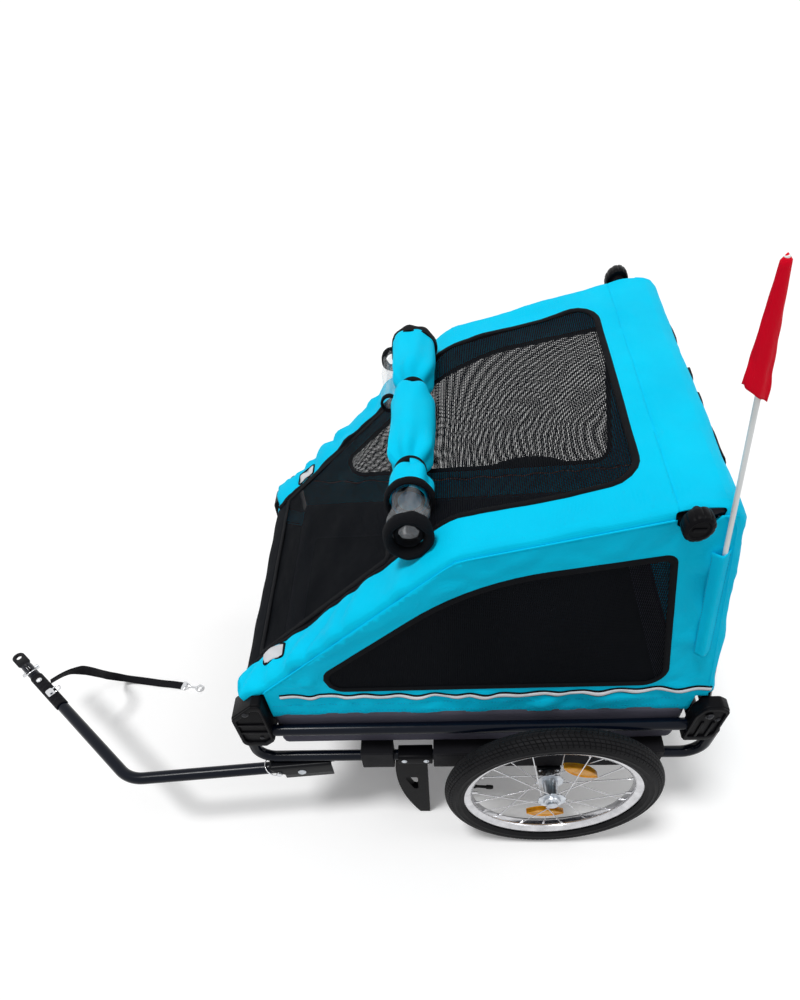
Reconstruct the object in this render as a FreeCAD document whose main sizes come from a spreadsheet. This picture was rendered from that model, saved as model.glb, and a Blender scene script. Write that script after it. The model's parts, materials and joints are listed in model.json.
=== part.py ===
import FreeCAD, Part
import math
import os
from types import SimpleNamespace

import Sketcher
from FreeCAD import Placement, Rotation, Vector

# A two-wheeled dog trailer for towing behind a bicycle.
# The nose points to -X, the left side is -Y and the wheels and feet stand on Z = 0.
# Places along X are first measured from the axle line, which lies at axle_place.

# Driving sizes in millimetres
SIZES = {
    # Wheels
    "tyre_radius": 200.0,
    "tyre_width": 46.0,
    "tyre_wall": 4.4,
    "rim_radius": 163.0,
    "rim_depth": 16.0,
    "rim_width": 26.0,
    "rim_wall": 1.6,
    "bead_gap": 0.2,
    "track_half": 365.0,
    "hub_half": 26.0,
    "hub_radius": 16.0,
    "hub_flange_radius": 26.0,
    "hub_flange_wall": 2.6,
    "hub_flange_inset": 5.0,
    "hub_bore_radius": 8.0,
    "bearing_radius": 12.0,
    "bearing_width": 8.0,
    "bearing_gap": 0.04,
    "axle_radius": 6.0,
    "axle_cap_radius": 10.0,
    "axle_cap_width": 6.0,
    "spoke_radius": 1.0,
    "spoke_stagger_width": 1.7,
    "spoke_gap": 0.1,
    "reflector_length": 74.0,
    "reflector_height": 24.0,
    "reflector_half": 6.2,
    "reflector_orbit": 88.0,
    # Base frame
    "tube_radius": 11.0,
    "tube_wall": 1.5,
    "rail_half_span": 303.0,
    "rail_height": 329.0,
    "runner_height": 236.0,
    "runner_bend_radius": 34.0,
    "nose_reach": 562.0,
    "tail_reach": 268.0,
    "bracket_margin": 13.5,
    "front_bracket_length": 64.0,
    "front_bracket_crown_height": 25.0,
    "rear_bracket_length": 66.0,
    "bracket_bottom_height": 296.0,
    "bracket_half": 15.0,
    "knuckle_radius": 24.0,
    "socket_depth": 18.0,
    "socket_gap": 0.1,
    "cross_tube_inset": 17.0,
    # Tub, floor and the sleeves that carry them
    "tub_wall": 2.4,
    "tub_gap": 0.3,
    "tub_end_gap": 3.5,
    "tub_bottom_height": 265.0,
    "tub_top_height": 362.0,
    "floor_thickness": 5.0,
    "floor_gap": 0.3,
    "sleeve_half": 17.0,
    "sleeve_bottom_height": 208.0,
    "front_sleeve_nose_reach": 358.0,
    "front_sleeve_tail_reach": 296.0,
    "guard_nose_reach": 220.0,
    "guard_tail_reach": 198.0,
    "receiver_half_length": 24.0,
    "receiver_half": 20.0,
    "receiver_bottom_height": 180.0,
    # Feet
    "foot_nose_reach": 288.0,
    "foot_tail_reach": 222.0,
    "foot_fin_nose_reach": 294.0,
    "foot_fin_tail_reach": 233.0,
    "foot_tip_nose_reach": 254.0,
    "foot_fin_half": 8.0,
    "foot_clamp_half": 16.0,
    "foot_clamp_depth": 28.0,
    "foot_belly_reach": 292.0,
    "foot_belly_height": 120.0,
    "foot_window_high_height": 158.0,
    "foot_window_low_height": 86.0,
    "foot_window_nose_reach": 281.0,
    "foot_window_tail_reach": 254.0,
    # Drawbar
    "bar_radius": 12.5,
    "bar_wall": 1.8,
    "bar_height": 203.0,
    "bar_bend_radius": 70.0,
    "pivot_reach": 484.0,
    "pivot_offset": 305.0,
    "elbow_reach": 841.0,
    "elbow_offset": 335.0,
    "tip_reach": 1172.0,
    "tip_offset": 32.0,
    "bar_tail_length": 10.0,
    "channel_nose_reach": 62.0,
    "channel_tail_reach": 62.0,
    "channel_wall": 3.0,
    "channel_gap": 0.5,
    "channel_skirt_height": 184.0,
    "channel_notch_length": 28.0,
    "channel_notch_height": 216.0,
    "bolt_radius": 4.0,
    "bolt_head_radius": 8.0,
    "bolt_head_height": 5.0,
    "bolt_gap": 0.05,
    "lock_pin_reach": 46.0,
    "pin_radius": 4.0,
    "pin_overhang": 9.0,
    "ring_wire_radius": 1.3,
    "ring_gap": 0.5,
    # Coupler at the drawbar's tip
    "slot_depth": 34.0,
    "slot_gap": 0.5,
    "tongue_half": 2.5,
    "tongue_height": 17.0,
    "coupler_pin_inset": 15.0,
    "coupler_reach": 42.0,
    "plate_start_length": 4.0,
    "coupler_round_radius": 15.0,
    "coupler_wall": 5.0,
    "eye_radius": 6.5,
    # Safety strap on the drawbar
    "anchor_inset": 84.0,
    "anchor_half": 20.0,
    "anchor_wall": 3.0,
    "anchor_gap": 0.1,
    "clip_inset": 128.0,
    "clip_half": 7.0,
    "strap_radius": 6.0,
    "strap_gap": 0.3,
    "hook_ring_radius": 9.0,
    "hook_wire_radius": 3.0,
    "hook_shank_length": 24.0,
    "hook_swivel_radius": 4.5,
    # Folding cabin frame
    "hoop_tube_radius": 9.0,
    "hoop_tube_wall": 1.4,
    "boss_radius": 9.3,
    "boss_half": 9.0,
    "hinge_gap": 0.4,
    "pin_fit": 0.05,
    "arm_half_span": 258.0,
    "hoop_half_span": 281.0,
    "front_pivot_reach": 545.0,
    "front_pivot_height": 400.0,
    "kink_reach": 183.0,
    "kink_height": 703.0,
    "arm_bend_radius": 70.0,
    "knob_place": 97.0,
    "knob_height": 757.0,
    "rear_pivot_place": 240.0,
    "rear_pivot_height": 370.0,
    "crown_place": 148.0,
    "hoop_bend_radius": 26.0,
    "crossbar_radius": 8.0,
    "crossbar_grip_depth": 3.0,
    "crossbar_station_length": 72.0,
    "knob_radius": 18.0,
    "knob_height_out": 26.0,
    "knob_lobe_radius": 5.0,
    "knob_collar_radius": 9.0,
    "knob_collar_height": 4.0,
    "stud_radius": 4.0,
    # Cabin cloth
    "cloth_wall": 2.6,
    "cloth_gap": 0.4,
    "mesh_wall": 1.2,
    "mesh_rib_width": 5.0,
    "mesh_border_width": 12.0,
    "roof_half": 266.0,
    "roof_start_length": 3.0,
    "roof_end_reach": 80.0,
    "door_half": 222.0,
    "door_start_length": 28.0,
    "door_end_length": 372.0,
    "door_hinge_gap": 3.2,
    "roof_mesh_nose_reach": 150.0,
    "roof_mesh_tail_reach": 50.0,
    "skirt_height": 366.0,
    "side_nose_rise": 30.0,
    "side_tail_rise": 50.0,
    "rear_panel_rise": 34.0,
    "window_sill_rise": 30.0,
    "window_front_inset": 52.0,
    "window_top_inset": 66.0,
    "window_rear_inset": 80.0,
    "knob_window_radius": 26.0,
    "roll_radius": 33.0,
    "roll_waist_radius": 28.0,
    "roll_left_reach": 266.0,
    "roll_right_reach": 240.0,
    "roll_band_half": 8.0,
    "roll_left_band_reach": 115.0,
    "roll_right_band_reach": 90.0,
    "roll_station_length": 432.0,
    "tab_length": 44.0,
    "tab_width": 28.0,
    "tab_wall": 1.5,
    "tab_station_length": 96.0,
    "tab_offset": 245.0,
    # Flag
    "pole_radius": 3.0,
    "pole_knob_distance": 40.3,
    "pole_foot_depth": 242.0,
    "pole_length": 512.5,
    "pocket_length": 198.0,
    "pocket_width": 18.0,
    "pocket_wall": 2.0,
    "pocket_gap": 0.3,
    "flag_drop_length": 128.0,
    "flag_fold_depth": 15.0,
    "flag_wall": 1.6,
    "flag_depth": 26.0,
    # One overrun for every cut
    "overrun": 2.0,
}

# Counts and angles
SPOKES_PER_FLANGE = 10
DOOR_CELLS = (8, 10)
ROOF_CELLS = (5, 10)
WINDOW_CELLS = (12, 6)
WINDOW_CELL_SHARE = 0.25
SPOKE_LEAN_DEG = 34.0
REFLECTOR_ANGLES_DEG = (62.0, 270.0)
KNOB_LOBES = 8
POLE_LEAN_DEG = 11.6

# Hand-chosen shares
ARC_RUN_SHARE = 0.45
FLAG_FOLD_SHARES = ((0.0, 0.0), (0.45, 0.5), (0.75, -0.4), (1.0, 0.3))


class Length:
    """A size in millimetres together with the sheet expression that gives it."""

    def __init__(self, value, text):
        self.value = value
        self.text = text

    def __add__(self, other):
        return Length(self.value + other.value, f"({self.text} + {other.text})")

    def __sub__(self, other):
        return Length(self.value - other.value, f"({self.text} - {other.text})")

    def __neg__(self):
        return Length(-self.value, f"(-1 * {self.text})")

    def __mul__(self, number):
        return Length(self.value * number, f"({number} * {self.text})")

    __rmul__ = __mul__


doc = FreeCAD.newDocument("dog_bike_trailer")
sheet = doc.addObject("Spreadsheet::Sheet", "Sizes")


def along_drawbar(inset):
    """The point of the drawbar's front leg that lies inset behind its tip, seen from above."""
    tip = Vector(-SIZES["tip_reach"], -SIZES["tip_offset"], SIZES["bar_height"])
    elbow = Vector(-SIZES["elbow_reach"], -SIZES["elbow_offset"], SIZES["bar_height"])
    return tip + (elbow - tip).normalize() * inset


# The origin lies half way along the part, so the axle's place follows from both ends
front_end = along_drawbar(-SIZES["coupler_reach"]).x - SIZES["coupler_round_radius"]
rear_end = SIZES["tail_reach"] + SIZES["bracket_margin"]
PLACES = {"axle_place": -(front_end + rear_end) / 2}
for row, (alias, amount) in enumerate({**SIZES, **PLACES}.items(), 1):
    sheet.set(f"A{row}", alias)
    sheet.set(f"B{row}", str(amount))
    sheet.setAlias(f"B{row}", alias)
doc.recompute()
S = SimpleNamespace(
    **{alias: Length(amount, f"Sizes.{alias}") for alias, amount in {**SIZES, **PLACES}.items()}
)
ZERO = Length(0.0, "0")
AXLE = S.axle_place
nodes = {}


# Helpers that make bound primitives and booleans

PROPERTY = {"x": "Placement.Base.x", "y": "Placement.Base.y", "z": "Placement.Base.z"}
TURNS = {
    "X": Rotation(Vector(0, 1, 0), 90),
    "Y": Rotation(Vector(1, 0, 0), -90),
    "Z": Rotation(),
}


def bind(item, **lengths):
    """Bind properties of a document object to sheet expressions."""
    for name, length in lengths.items():
        item.setExpression(PROPERTY.get(name, name), length.text)
    return item


def block(name, x_span, y_span, z_span):
    """A box between two planes on each axis."""
    item = doc.addObject("Part::Box", name)
    bind(item, Length=x_span[1] - x_span[0], Width=y_span[1] - y_span[0], Height=z_span[1] - z_span[0])
    return bind(item, x=x_span[0], y=y_span[0], z=z_span[0])


def rod(name, axis, radius, base, length):
    """A cylinder that starts at base and runs along +axis."""
    item = doc.addObject("Part::Cylinder", name)
    item.Placement = Placement(Vector(), TURNS[axis])
    bind(item, Radius=radius, Height=length)
    return bind(item, x=base[0], y=base[1], z=base[2])


def ring(name, axis, major, minor, centre):
    """A torus about axis."""
    item = doc.addObject("Part::Torus", name)
    item.Placement = Placement(Vector(), TURNS[axis])
    bind(item, Radius1=major, Radius2=minor)
    return bind(item, x=centre[0], y=centre[1], z=centre[2])


def fuse(name, *items):
    """One solid from several."""
    item = doc.addObject("Part::MultiFuse", name)
    item.Shapes = list(items)
    item.Refine = True
    return item


def cut(name, base, *tools):
    """Base with the tools taken away."""
    item = doc.addObject("Part::Cut", name)
    item.Base = base
    item.Tool = tools[0] if len(tools) == 1 else fuse(name + "_tools", *tools)
    item.Refine = True
    return item


def group(name, *items):
    """Separate solids that share one node."""
    item = doc.addObject("Part::Compound", name)
    item.Links = list(items)
    return item


def solid(name, shape):
    """A document object that holds a shape worked out from the sheet's values."""
    item = doc.addObject("Part::Feature", name)
    item.Shape = shape
    return item


def node(name, item):
    """Keep item as the sub-part called name."""
    item.Label = name
    nodes[name] = item
    return item


# Helpers for sketches inside a body

def new_body(name):
    """An empty body."""
    return doc.addObject("PartDesign::Body", name)


def origin_part(body, role):
    """A plane or axis of the body's own origin."""
    return next(part for part in body.Origin.OriginFeatures if part.Role == role)


def outline(body, name, plane, points):
    """A closed sketch through bound points, whose coordinates are zero or positive."""
    sketch = body.newObject("Sketcher::SketchObject", name)
    sketch.AttachmentSupport = (origin_part(body, plane), [""])
    sketch.MapMode = "FlatFace"
    places = [Vector(across.value, up.value, 0) for across, up in points]
    for start, end in zip(places, places[1:] + places[:1]):
        sketch.addGeometry(Part.LineSegment(start, end))
    for index in range(len(points)):
        following = (index + 1) % len(points)
        sketch.addConstraint(Sketcher.Constraint("Coincident", index, 2, following, 1))
    for index, (across, up) in enumerate(points):
        for kind, length, axis in (("DistanceX", across, -2), ("DistanceY", up, -1)):
            if length is ZERO:
                sketch.addConstraint(Sketcher.Constraint("PointOnObject", index, 1, axis))
            else:
                held = sketch.addConstraint(Sketcher.Constraint(kind, -1, 1, index, 1, length.value))
                sketch.setExpression(f"Constraints[{held}]", length.text)
    return sketch


def turned(name, points):
    """A body turned about its own Z axis from an outline of (radius, height) points."""
    body = new_body(name)
    sketch = outline(body, name + "_outline", "XZ_Plane", points)
    turn = body.newObject("PartDesign::Revolution", name + "_turn")
    turn.Profile = sketch
    turn.ReferenceAxis = (origin_part(body, "Z_Axis"), [""])
    turn.Angle = 360
    sketch.Visibility = False
    return body


# Helpers for bent tubes and cloth

def vector(x, y, z):
    """A point from three lengths, with x measured from the axle."""
    return Vector(AXLE.value + x.value, y.value, z.value)


def bent_wire(points, bends):
    """A path of straight runs joined by tangent arcs, one bend radius for each inner point."""
    edges = []
    start = points[0]
    for before, corner, after, bend in zip(points, points[1:], points[2:], bends):
        back = (before - corner).normalize()
        ahead = (after - corner).normalize()
        inward = (back + ahead).normalize()
        half_angle = back.getAngle(ahead) / 2
        reach = bend / math.tan(half_angle)
        middle = corner + inward * (bend / math.sin(half_angle) - bend)
        edges.append(Part.LineSegment(start, corner + back * reach).toShape())
        edges.append(Part.Arc(corner + back * reach, middle, corner + ahead * reach).toShape())
        start = corner + ahead * reach
    edges.append(Part.LineSegment(start, points[-1]).toShape())
    return Part.Wire(edges)


def swept(path, radius):
    """A round bar along a path."""
    edge = path.OrderedEdges[0]
    start = edge.valueAt(edge.FirstParameter)
    circle = Part.Wire(Part.makeCircle(radius, start, edge.tangentAt(edge.FirstParameter)))
    return path.makePipeShell([circle], True, False)


def bent_tube(points, bends, radius, wall):
    """A hollow tube along a bent path."""
    path = bent_wire(points, bends)
    return swept(path, radius).cut(swept(path, radius - wall))


def bar_between(start, end, radius):
    """A straight round bar between two points."""
    return Part.makeCylinder(radius, (end - start).Length, start, end - start)


def prism(points, y_low, y_high):
    """A solid from an outline in the XZ plane, between two planes across Y."""
    flat = [Vector(point.x, y_low, point.z) for point in points]
    face = Part.Face(Part.makePolygon(flat + flat[:1]))
    return face.extrude(Vector(0, y_high - y_low, 0))


def meeting(first, second):
    """Where two lines in the XZ plane meet, each given as (point, direction)."""
    (p, u), (q, v) = first, second
    amount = ((q.x - p.x) * v.z - (q.z - p.z) * v.x) / (u.x * v.z - u.z * v.x)
    return p + u * amount


class Profile:
    """The cabin's side outline along its tubes, from the front pivot over the roof to the rear pivot."""

    def __init__(self):
        self.nose = vector(-S.front_pivot_reach, ZERO, S.front_pivot_height)
        self.kink = vector(-S.kink_reach, ZERO, S.kink_height)
        self.knob = vector(S.knob_place, ZERO, S.knob_height)
        self.crown = vector(S.crown_place, ZERO, S.knob_height)
        self.tail = vector(S.rear_pivot_place, ZERO, S.rear_pivot_height)
        self.slope = (self.kink - self.nose).normalize()
        self.roof = (self.knob - self.kink).normalize()
        self.top = (self.crown - self.knob).normalize()
        self.back = (self.tail - self.crown).normalize()

    @staticmethod
    def outward(direction):
        """The upward or rearward normal of a stretch."""
        return Vector(-direction.z, 0, direction.x)

    def lines(self, offset):
        """The four stretches moved outward by offset, each as (point, direction)."""
        starts = (self.nose, self.kink, self.knob, self.crown)
        ways = (self.slope, self.roof, self.top, self.back)
        return [(start + self.outward(way) * offset, way) for start, way in zip(starts, ways)]

    def corners(self, offset):
        """The corners at the kink, the knob and the crown, moved outward by offset."""
        stretches = self.lines(offset)
        return [meeting(a, b) for a, b in zip(stretches, stretches[1:])]

    def on_slope(self, station, offset):
        """A point on the front slope, station above the front pivot and offset outward."""
        return self.nose + self.slope * station + self.outward(self.slope) * offset

    def at_height(self, stretch, offset, height):
        """Where a stretch moved outward by offset reaches a height."""
        level = (Vector(0, 0, height), Vector(1, 0, 0))
        return meeting(self.lines(offset)[stretch], level)

    def at_place(self, stretch, offset, place):
        """Where a stretch moved outward by offset reaches a place along X."""
        plumb = (Vector(place, 0, 0), Vector(0, 0, 1))
        return meeting(self.lines(offset)[stretch], plumb)


profile = Profile()
CLOTH_IN = S.hoop_tube_radius + S.cloth_gap
CLOTH_OUT = CLOTH_IN + S.cloth_wall
SIDES = {"left": -1, "right": 1}


def span(side, near, far):
    """The y span from near to far on one side, low end first."""
    return (near, far) if side > 0 else (-far, -near)


# Wheels

def place_wheel(item):
    """Put a piece that was turned about Z from its inner face onto the axle line."""
    item.Placement = Placement(Vector(), TURNS["Y"])
    return bind(item, x=AXLE, z=S.tyre_radius)


def make_tyre(name, side):
    """A hollow tyre open to the rim between its beads."""
    middle = side * S.track_half
    centre = (AXLE, middle, S.tyre_radius)
    crown = S.tyre_radius - 0.5 * S.tyre_width
    outer = ring(f"tyre_{name}_outer", "Y", crown, 0.5 * S.tyre_width, centre)
    hollow = ring(f"tyre_{name}_hollow", "Y", crown, 0.5 * S.tyre_width - S.tyre_wall, centre)
    well_half = 0.5 * S.rim_width + S.bead_gap
    well = rod(f"tyre_{name}_well", "Y", S.rim_radius + S.bead_gap,
               (AXLE, middle - well_half, S.tyre_radius), 2 * well_half)
    return cut(f"tyre_{name}_solid", outer, hollow, well)


def make_rim(name, side):
    """A steel rim, a channel open towards the tyre."""
    inner = S.rim_radius - S.rim_depth
    points = [
        (inner, ZERO),
        (S.rim_radius, ZERO),
        (S.rim_radius, S.rim_wall),
        (inner + S.rim_wall, S.rim_wall),
        (inner + S.rim_wall, S.rim_width - S.rim_wall),
        (S.rim_radius, S.rim_width - S.rim_wall),
        (S.rim_radius, S.rim_width),
        (inner, S.rim_width),
    ]
    body = place_wheel(turned(f"rim_{name}_body", points))
    return bind(body, y=side * S.track_half - 0.5 * S.rim_width)


def make_hub(name, side):
    """A hub shell with two spoke flanges and a bearing seat in each end."""
    length = 2 * S.hub_half
    seat = S.bearing_radius
    flange = S.hub_flange_inset
    rim_of_flange = S.hub_flange_radius
    points = [
        (seat, ZERO),
        (S.hub_radius, ZERO),
        (S.hub_radius, flange),
        (rim_of_flange, flange),
        (rim_of_flange, flange + S.hub_flange_wall),
        (S.hub_radius, flange + S.hub_flange_wall),
        (S.hub_radius, length - flange - S.hub_flange_wall),
        (rim_of_flange, length - flange - S.hub_flange_wall),
        (rim_of_flange, length - flange),
        (S.hub_radius, length - flange),
        (S.hub_radius, length),
        (seat, length),
        (seat, length - S.bearing_width),
        (S.hub_bore_radius, length - S.bearing_width),
        (S.hub_bore_radius, S.bearing_width),
        (seat, S.bearing_width),
    ]
    body = place_wheel(turned(f"hub_{name}_body", points))
    return bind(body, y=side * S.track_half - S.hub_half)


def make_bearings(name, side):
    """The two ball bearings, each drawn as one ring."""
    rings = []
    for end, start in (("inner", -S.hub_half), ("outer", S.hub_half - S.bearing_width)):
        base = (AXLE, side * S.track_half + start, S.tyre_radius)
        race = rod(f"bearing_{name}_{end}_race", "Y", S.bearing_radius, base, S.bearing_width)
        bore = rod(f"bearing_{name}_{end}_bore", "Y", S.axle_radius + S.bearing_gap, base, S.bearing_width)
        rings.append(cut(f"bearing_{name}_{end}", race, bore))
    return group(f"bearings_{name}_group", *rings)


def make_spokes(name, side):
    """Crossed spokes from both hub flanges to the rim, staggered where they cross."""
    solids = []
    start_radius = S.hub_flange_radius.value + S.spoke_gap.value
    end_radius = S.rim_radius.value - S.rim_depth.value - S.spoke_gap.value
    flange_half = S.hub_half.value - S.hub_flange_inset.value - S.hub_flange_wall.value / 2
    pitch = 2 * math.pi / SPOKES_PER_FLANGE
    lean = math.radians(SPOKE_LEAN_DEG)
    centre = Vector(AXLE.value, side * S.track_half.value, S.tyre_radius.value)
    for flange in (-1, 1):
        for index in range(SPOKES_PER_FLANGE):
            way = 1 if index % 2 else -1
            angle = pitch * index + (pitch / 2 if flange > 0 else 0)
            across = flange * (flange_half + way * S.spoke_stagger_width.value / 2)
            at_rim = flange * way * S.spoke_stagger_width.value / 2 + flange * S.spoke_stagger_width.value
            far = angle + way * lean
            start = centre + Vector(start_radius * math.cos(angle), across, start_radius * math.sin(angle))
            end = centre + Vector(end_radius * math.cos(far), at_rim, end_radius * math.sin(far))
            trim = (end - start).normalize() * S.spoke_radius.value
            solids.append(bar_between(start + trim, end - trim, S.spoke_radius.value))
    return solid(f"spokes_{name}_group", Part.makeCompound(solids))


def make_wheel_reflectors(name, side):
    """Two lens shaped reflectors clipped between the spokes."""
    lenses = []
    for degrees in REFLECTOR_ANGLES_DEG:
        half_length = S.reflector_length.value / 2
        sag = S.reflector_height.value / 2
        depth = S.reflector_half.value
        first = Vector(-half_length, -depth, 0)
        last = Vector(half_length, -depth, 0)
        top = Part.Arc(first, Vector(0, -depth, sag), last)
        low = Part.Arc(last, Vector(0, -depth, -sag), first)
        face = Part.Face(Part.Wire([top.toShape(), low.toShape()]))
        lens = face.extrude(Vector(0, 2 * depth, 0))
        angle = math.radians(degrees)
        centre = Vector(AXLE.value, side * S.track_half.value, S.tyre_radius.value)
        orbit = Vector(math.cos(angle), 0, math.sin(angle)) * S.reflector_orbit.value
        lens.Placement = Placement(centre + orbit, Rotation(Vector(0, 1, 0), 90 - degrees))
        lenses.append(lens)
    return solid(f"wheel_reflectors_{name}_group", Part.makeCompound(lenses))


def make_axle(name, side):
    """A stub axle held in the frame's receiver, with a cap on its outer end."""
    inner = S.rail_half_span - S.receiver_half
    outer = S.track_half + S.hub_half + S.hinge_gap
    y_low, y_high = span(side, inner, outer)
    shaft = rod(f"axle_{name}_shaft", "Y", S.axle_radius, (AXLE, y_low, S.tyre_radius), y_high - y_low)
    cap_low, cap_high = span(side, outer, outer + S.axle_cap_width)
    cap = rod(f"axle_{name}_cap", "Y", S.axle_cap_radius, (AXLE, cap_low, S.tyre_radius), cap_high - cap_low)
    return fuse(f"axle_{name}_solid", shaft, cap)


for name, side in SIDES.items():
    node(f"tyre_{name}", make_tyre(name, side))
    node(f"rim_{name}", make_rim(name, side))
    node(f"hub_{name}", make_hub(name, side))
    node(f"hub_bearings_{name}", make_bearings(name, side))
    node(f"spokes_{name}", make_spokes(name, side))
    node(f"wheel_reflectors_{name}", make_wheel_reflectors(name, side))
    node(f"axle_{name}", make_axle(name, side))


# Base frame

FRONT_FACE = AXLE - S.nose_reach - S.bracket_margin
FRONT_INNER = FRONT_FACE + S.front_bracket_length
REAR_FACE = AXLE + S.tail_reach + S.bracket_margin
REAR_INNER = REAR_FACE - S.rear_bracket_length
BRACKET_OUT = S.rail_half_span + S.bracket_half
FRONT_EAR = S.arm_half_span + S.boss_half + S.hinge_gap
REAR_EAR = S.hoop_half_span + S.boss_half + S.hinge_gap
SOCKET_RADIUS = S.tube_radius + S.socket_gap
CROSS_FRONT = FRONT_INNER - S.cross_tube_inset
CROSS_REAR = REAR_INNER + S.cross_tube_inset


def make_front_bracket(name, side):
    """The front corner block, with sockets for three tubes and the front pivot's bolt."""
    y_span = span(side, FRONT_EAR, BRACKET_OUT)
    body = block(f"front_{name}_block", (FRONT_FACE, FRONT_INNER), y_span,
                 (S.bracket_bottom_height, S.front_pivot_height + S.front_bracket_crown_height))
    rail = rod(f"front_{name}_rail_socket", "X", SOCKET_RADIUS,
               (FRONT_INNER - S.socket_depth, side * S.rail_half_span, S.rail_height),
               S.socket_depth + S.overrun)
    runner = rod(f"front_{name}_runner_socket", "Z", SOCKET_RADIUS,
                 (AXLE - S.nose_reach, side * S.rail_half_span, S.bracket_bottom_height - S.overrun),
                 S.socket_depth + S.overrun)
    cross_low, cross_high = span(side, FRONT_EAR - S.overrun, FRONT_EAR + S.socket_depth)
    cross = rod(f"front_{name}_cross_socket", "Y", SOCKET_RADIUS,
                (CROSS_FRONT, cross_low, S.rail_height), cross_high - cross_low)
    y_low, y_high = y_span
    bolt = rod(f"front_{name}_bolt_hole", "Y", S.bolt_radius + S.bolt_gap,
               (AXLE - S.front_pivot_reach, y_low - S.overrun, S.front_pivot_height),
               y_high - y_low + 2 * S.overrun)
    return cut(f"front_{name}_bracket", body, rail, runner, cross, bolt)


def make_rear_bracket(name, side):
    """The rear corner block, with a round knuckle over the rear pivot."""
    y_span = span(side, REAR_EAR, BRACKET_OUT)
    y_low, y_high = y_span
    body = block(f"rear_{name}_block", (REAR_INNER, REAR_FACE), y_span,
                 (S.bracket_bottom_height, S.rear_pivot_height))
    pivot = (AXLE + S.rear_pivot_place, y_low, S.rear_pivot_height)
    knuckle = rod(f"rear_{name}_knuckle", "Y", S.knuckle_radius, pivot, y_high - y_low)
    rail = rod(f"rear_{name}_rail_socket", "X", SOCKET_RADIUS,
               (REAR_INNER - S.overrun, side * S.rail_half_span, S.rail_height),
               S.socket_depth + S.overrun)
    runner = rod(f"rear_{name}_runner_socket", "Z", SOCKET_RADIUS,
                 (AXLE + S.tail_reach, side * S.rail_half_span, S.bracket_bottom_height - S.overrun),
                 S.socket_depth + S.overrun)
    bolt = rod(f"rear_{name}_bolt_hole", "Y", S.bolt_radius + S.bolt_gap,
               (AXLE + S.rear_pivot_place, y_low - S.overrun, S.rear_pivot_height),
               y_high - y_low + 2 * S.overrun)
    return cut(f"rear_{name}_bracket", fuse(f"rear_{name}_mass", body, knuckle), rail, runner, bolt)


def straight_tube(name, axis, base, length):
    """A straight frame tube."""
    outer = rod(f"{name}_outer", axis, S.tube_radius, base, length)
    inner = rod(f"{name}_inner", axis, S.tube_radius - S.tube_wall, base, length)
    return cut(f"{name}_tube", outer, inner)


def make_runner(name, side):
    """The lower tube, bent up at both ends into the corner blocks."""
    y = side * S.rail_half_span
    top = S.bracket_bottom_height + S.socket_depth
    points = [
        vector(-S.nose_reach, y, top),
        vector(-S.nose_reach, y, S.runner_height),
        vector(S.tail_reach, y, S.runner_height),
        vector(S.tail_reach, y, top),
    ]
    bends = [S.runner_bend_radius.value] * 2
    return solid(f"runner_{name}_tube", bent_tube(points, bends, S.tube_radius.value, S.tube_wall.value))


def make_frame_bolts():
    """The pivot bolts of the folding frame, with their domed heads drawn as discs."""
    bolts = []
    pivots = {
        "front": (AXLE - S.front_pivot_reach, S.front_pivot_height, S.arm_half_span - S.boss_half),
        "rear": (AXLE + S.rear_pivot_place, S.rear_pivot_height, S.hoop_half_span - S.boss_half),
    }
    for end, (x, z, inner) in pivots.items():
        for name, side in SIDES.items():
            y_low, y_high = span(side, inner, BRACKET_OUT)
            shank = rod(f"{end}_{name}_shank", "Y", S.bolt_radius, (x, y_low, z), y_high - y_low)
            head_low, head_high = span(side, BRACKET_OUT, BRACKET_OUT + S.bolt_head_height)
            head = rod(f"{end}_{name}_head", "Y", S.bolt_head_radius, (x, head_low, z), head_high - head_low)
            bolts.append(fuse(f"{end}_{name}_bolt", shank, head))
    return bolts


for name, side in SIDES.items():
    node(f"front_bracket_{name}", make_front_bracket(name, side))
    node(f"rear_bracket_{name}", make_rear_bracket(name, side))
    rail_base = (FRONT_INNER - S.socket_depth, side * S.rail_half_span, S.rail_height)
    rail_length = REAR_INNER - FRONT_INNER + 2 * S.socket_depth
    node(f"side_rail_{name}", straight_tube(f"rail_{name}", "X", rail_base, rail_length))
    node(f"runner_{name}", make_runner(name, side))
front_half = FRONT_EAR + S.socket_depth
front_base = (CROSS_FRONT, -front_half, S.rail_height)
rear_base = (CROSS_REAR, -REAR_EAR, S.rail_height)
node("front_cross_tube", straight_tube("front_cross", "Y", front_base, 2 * front_half))
node("rear_cross_tube", straight_tube("rear_cross", "Y", rear_base, 2 * REAR_EAR))


# Tub, floor, sleeves, axle receivers and feet

TUB_HALF = S.rail_half_span - S.tube_radius - S.tub_gap
TUB_NOSE = FRONT_INNER + S.tub_end_gap
TUB_TAIL = REAR_INNER - S.tub_end_gap


def make_tub():
    """The cloth tub between the rails, an open tray."""
    outer = block(
        "tub_outer",
        (TUB_NOSE, TUB_TAIL),
        (-TUB_HALF, TUB_HALF),
        (S.tub_bottom_height, S.tub_top_height),
    )
    inner = block(
        "tub_inner",
        (TUB_NOSE + S.tub_wall, TUB_TAIL - S.tub_wall),
        (S.tub_wall - TUB_HALF, TUB_HALF - S.tub_wall),
        (S.tub_bottom_height + S.tub_wall, S.tub_top_height + S.overrun),
    )
    return cut("tub_tray", outer, inner)


def make_floor():
    """The stiff floor board that lies in the tub."""
    edge = S.tub_wall + S.floor_gap
    base = S.tub_bottom_height + S.tub_wall
    return block("floor_plate", (TUB_NOSE + edge, TUB_TAIL - edge), (edge - TUB_HALF, TUB_HALF - edge),
                 (base, base + S.floor_thickness))


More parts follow.
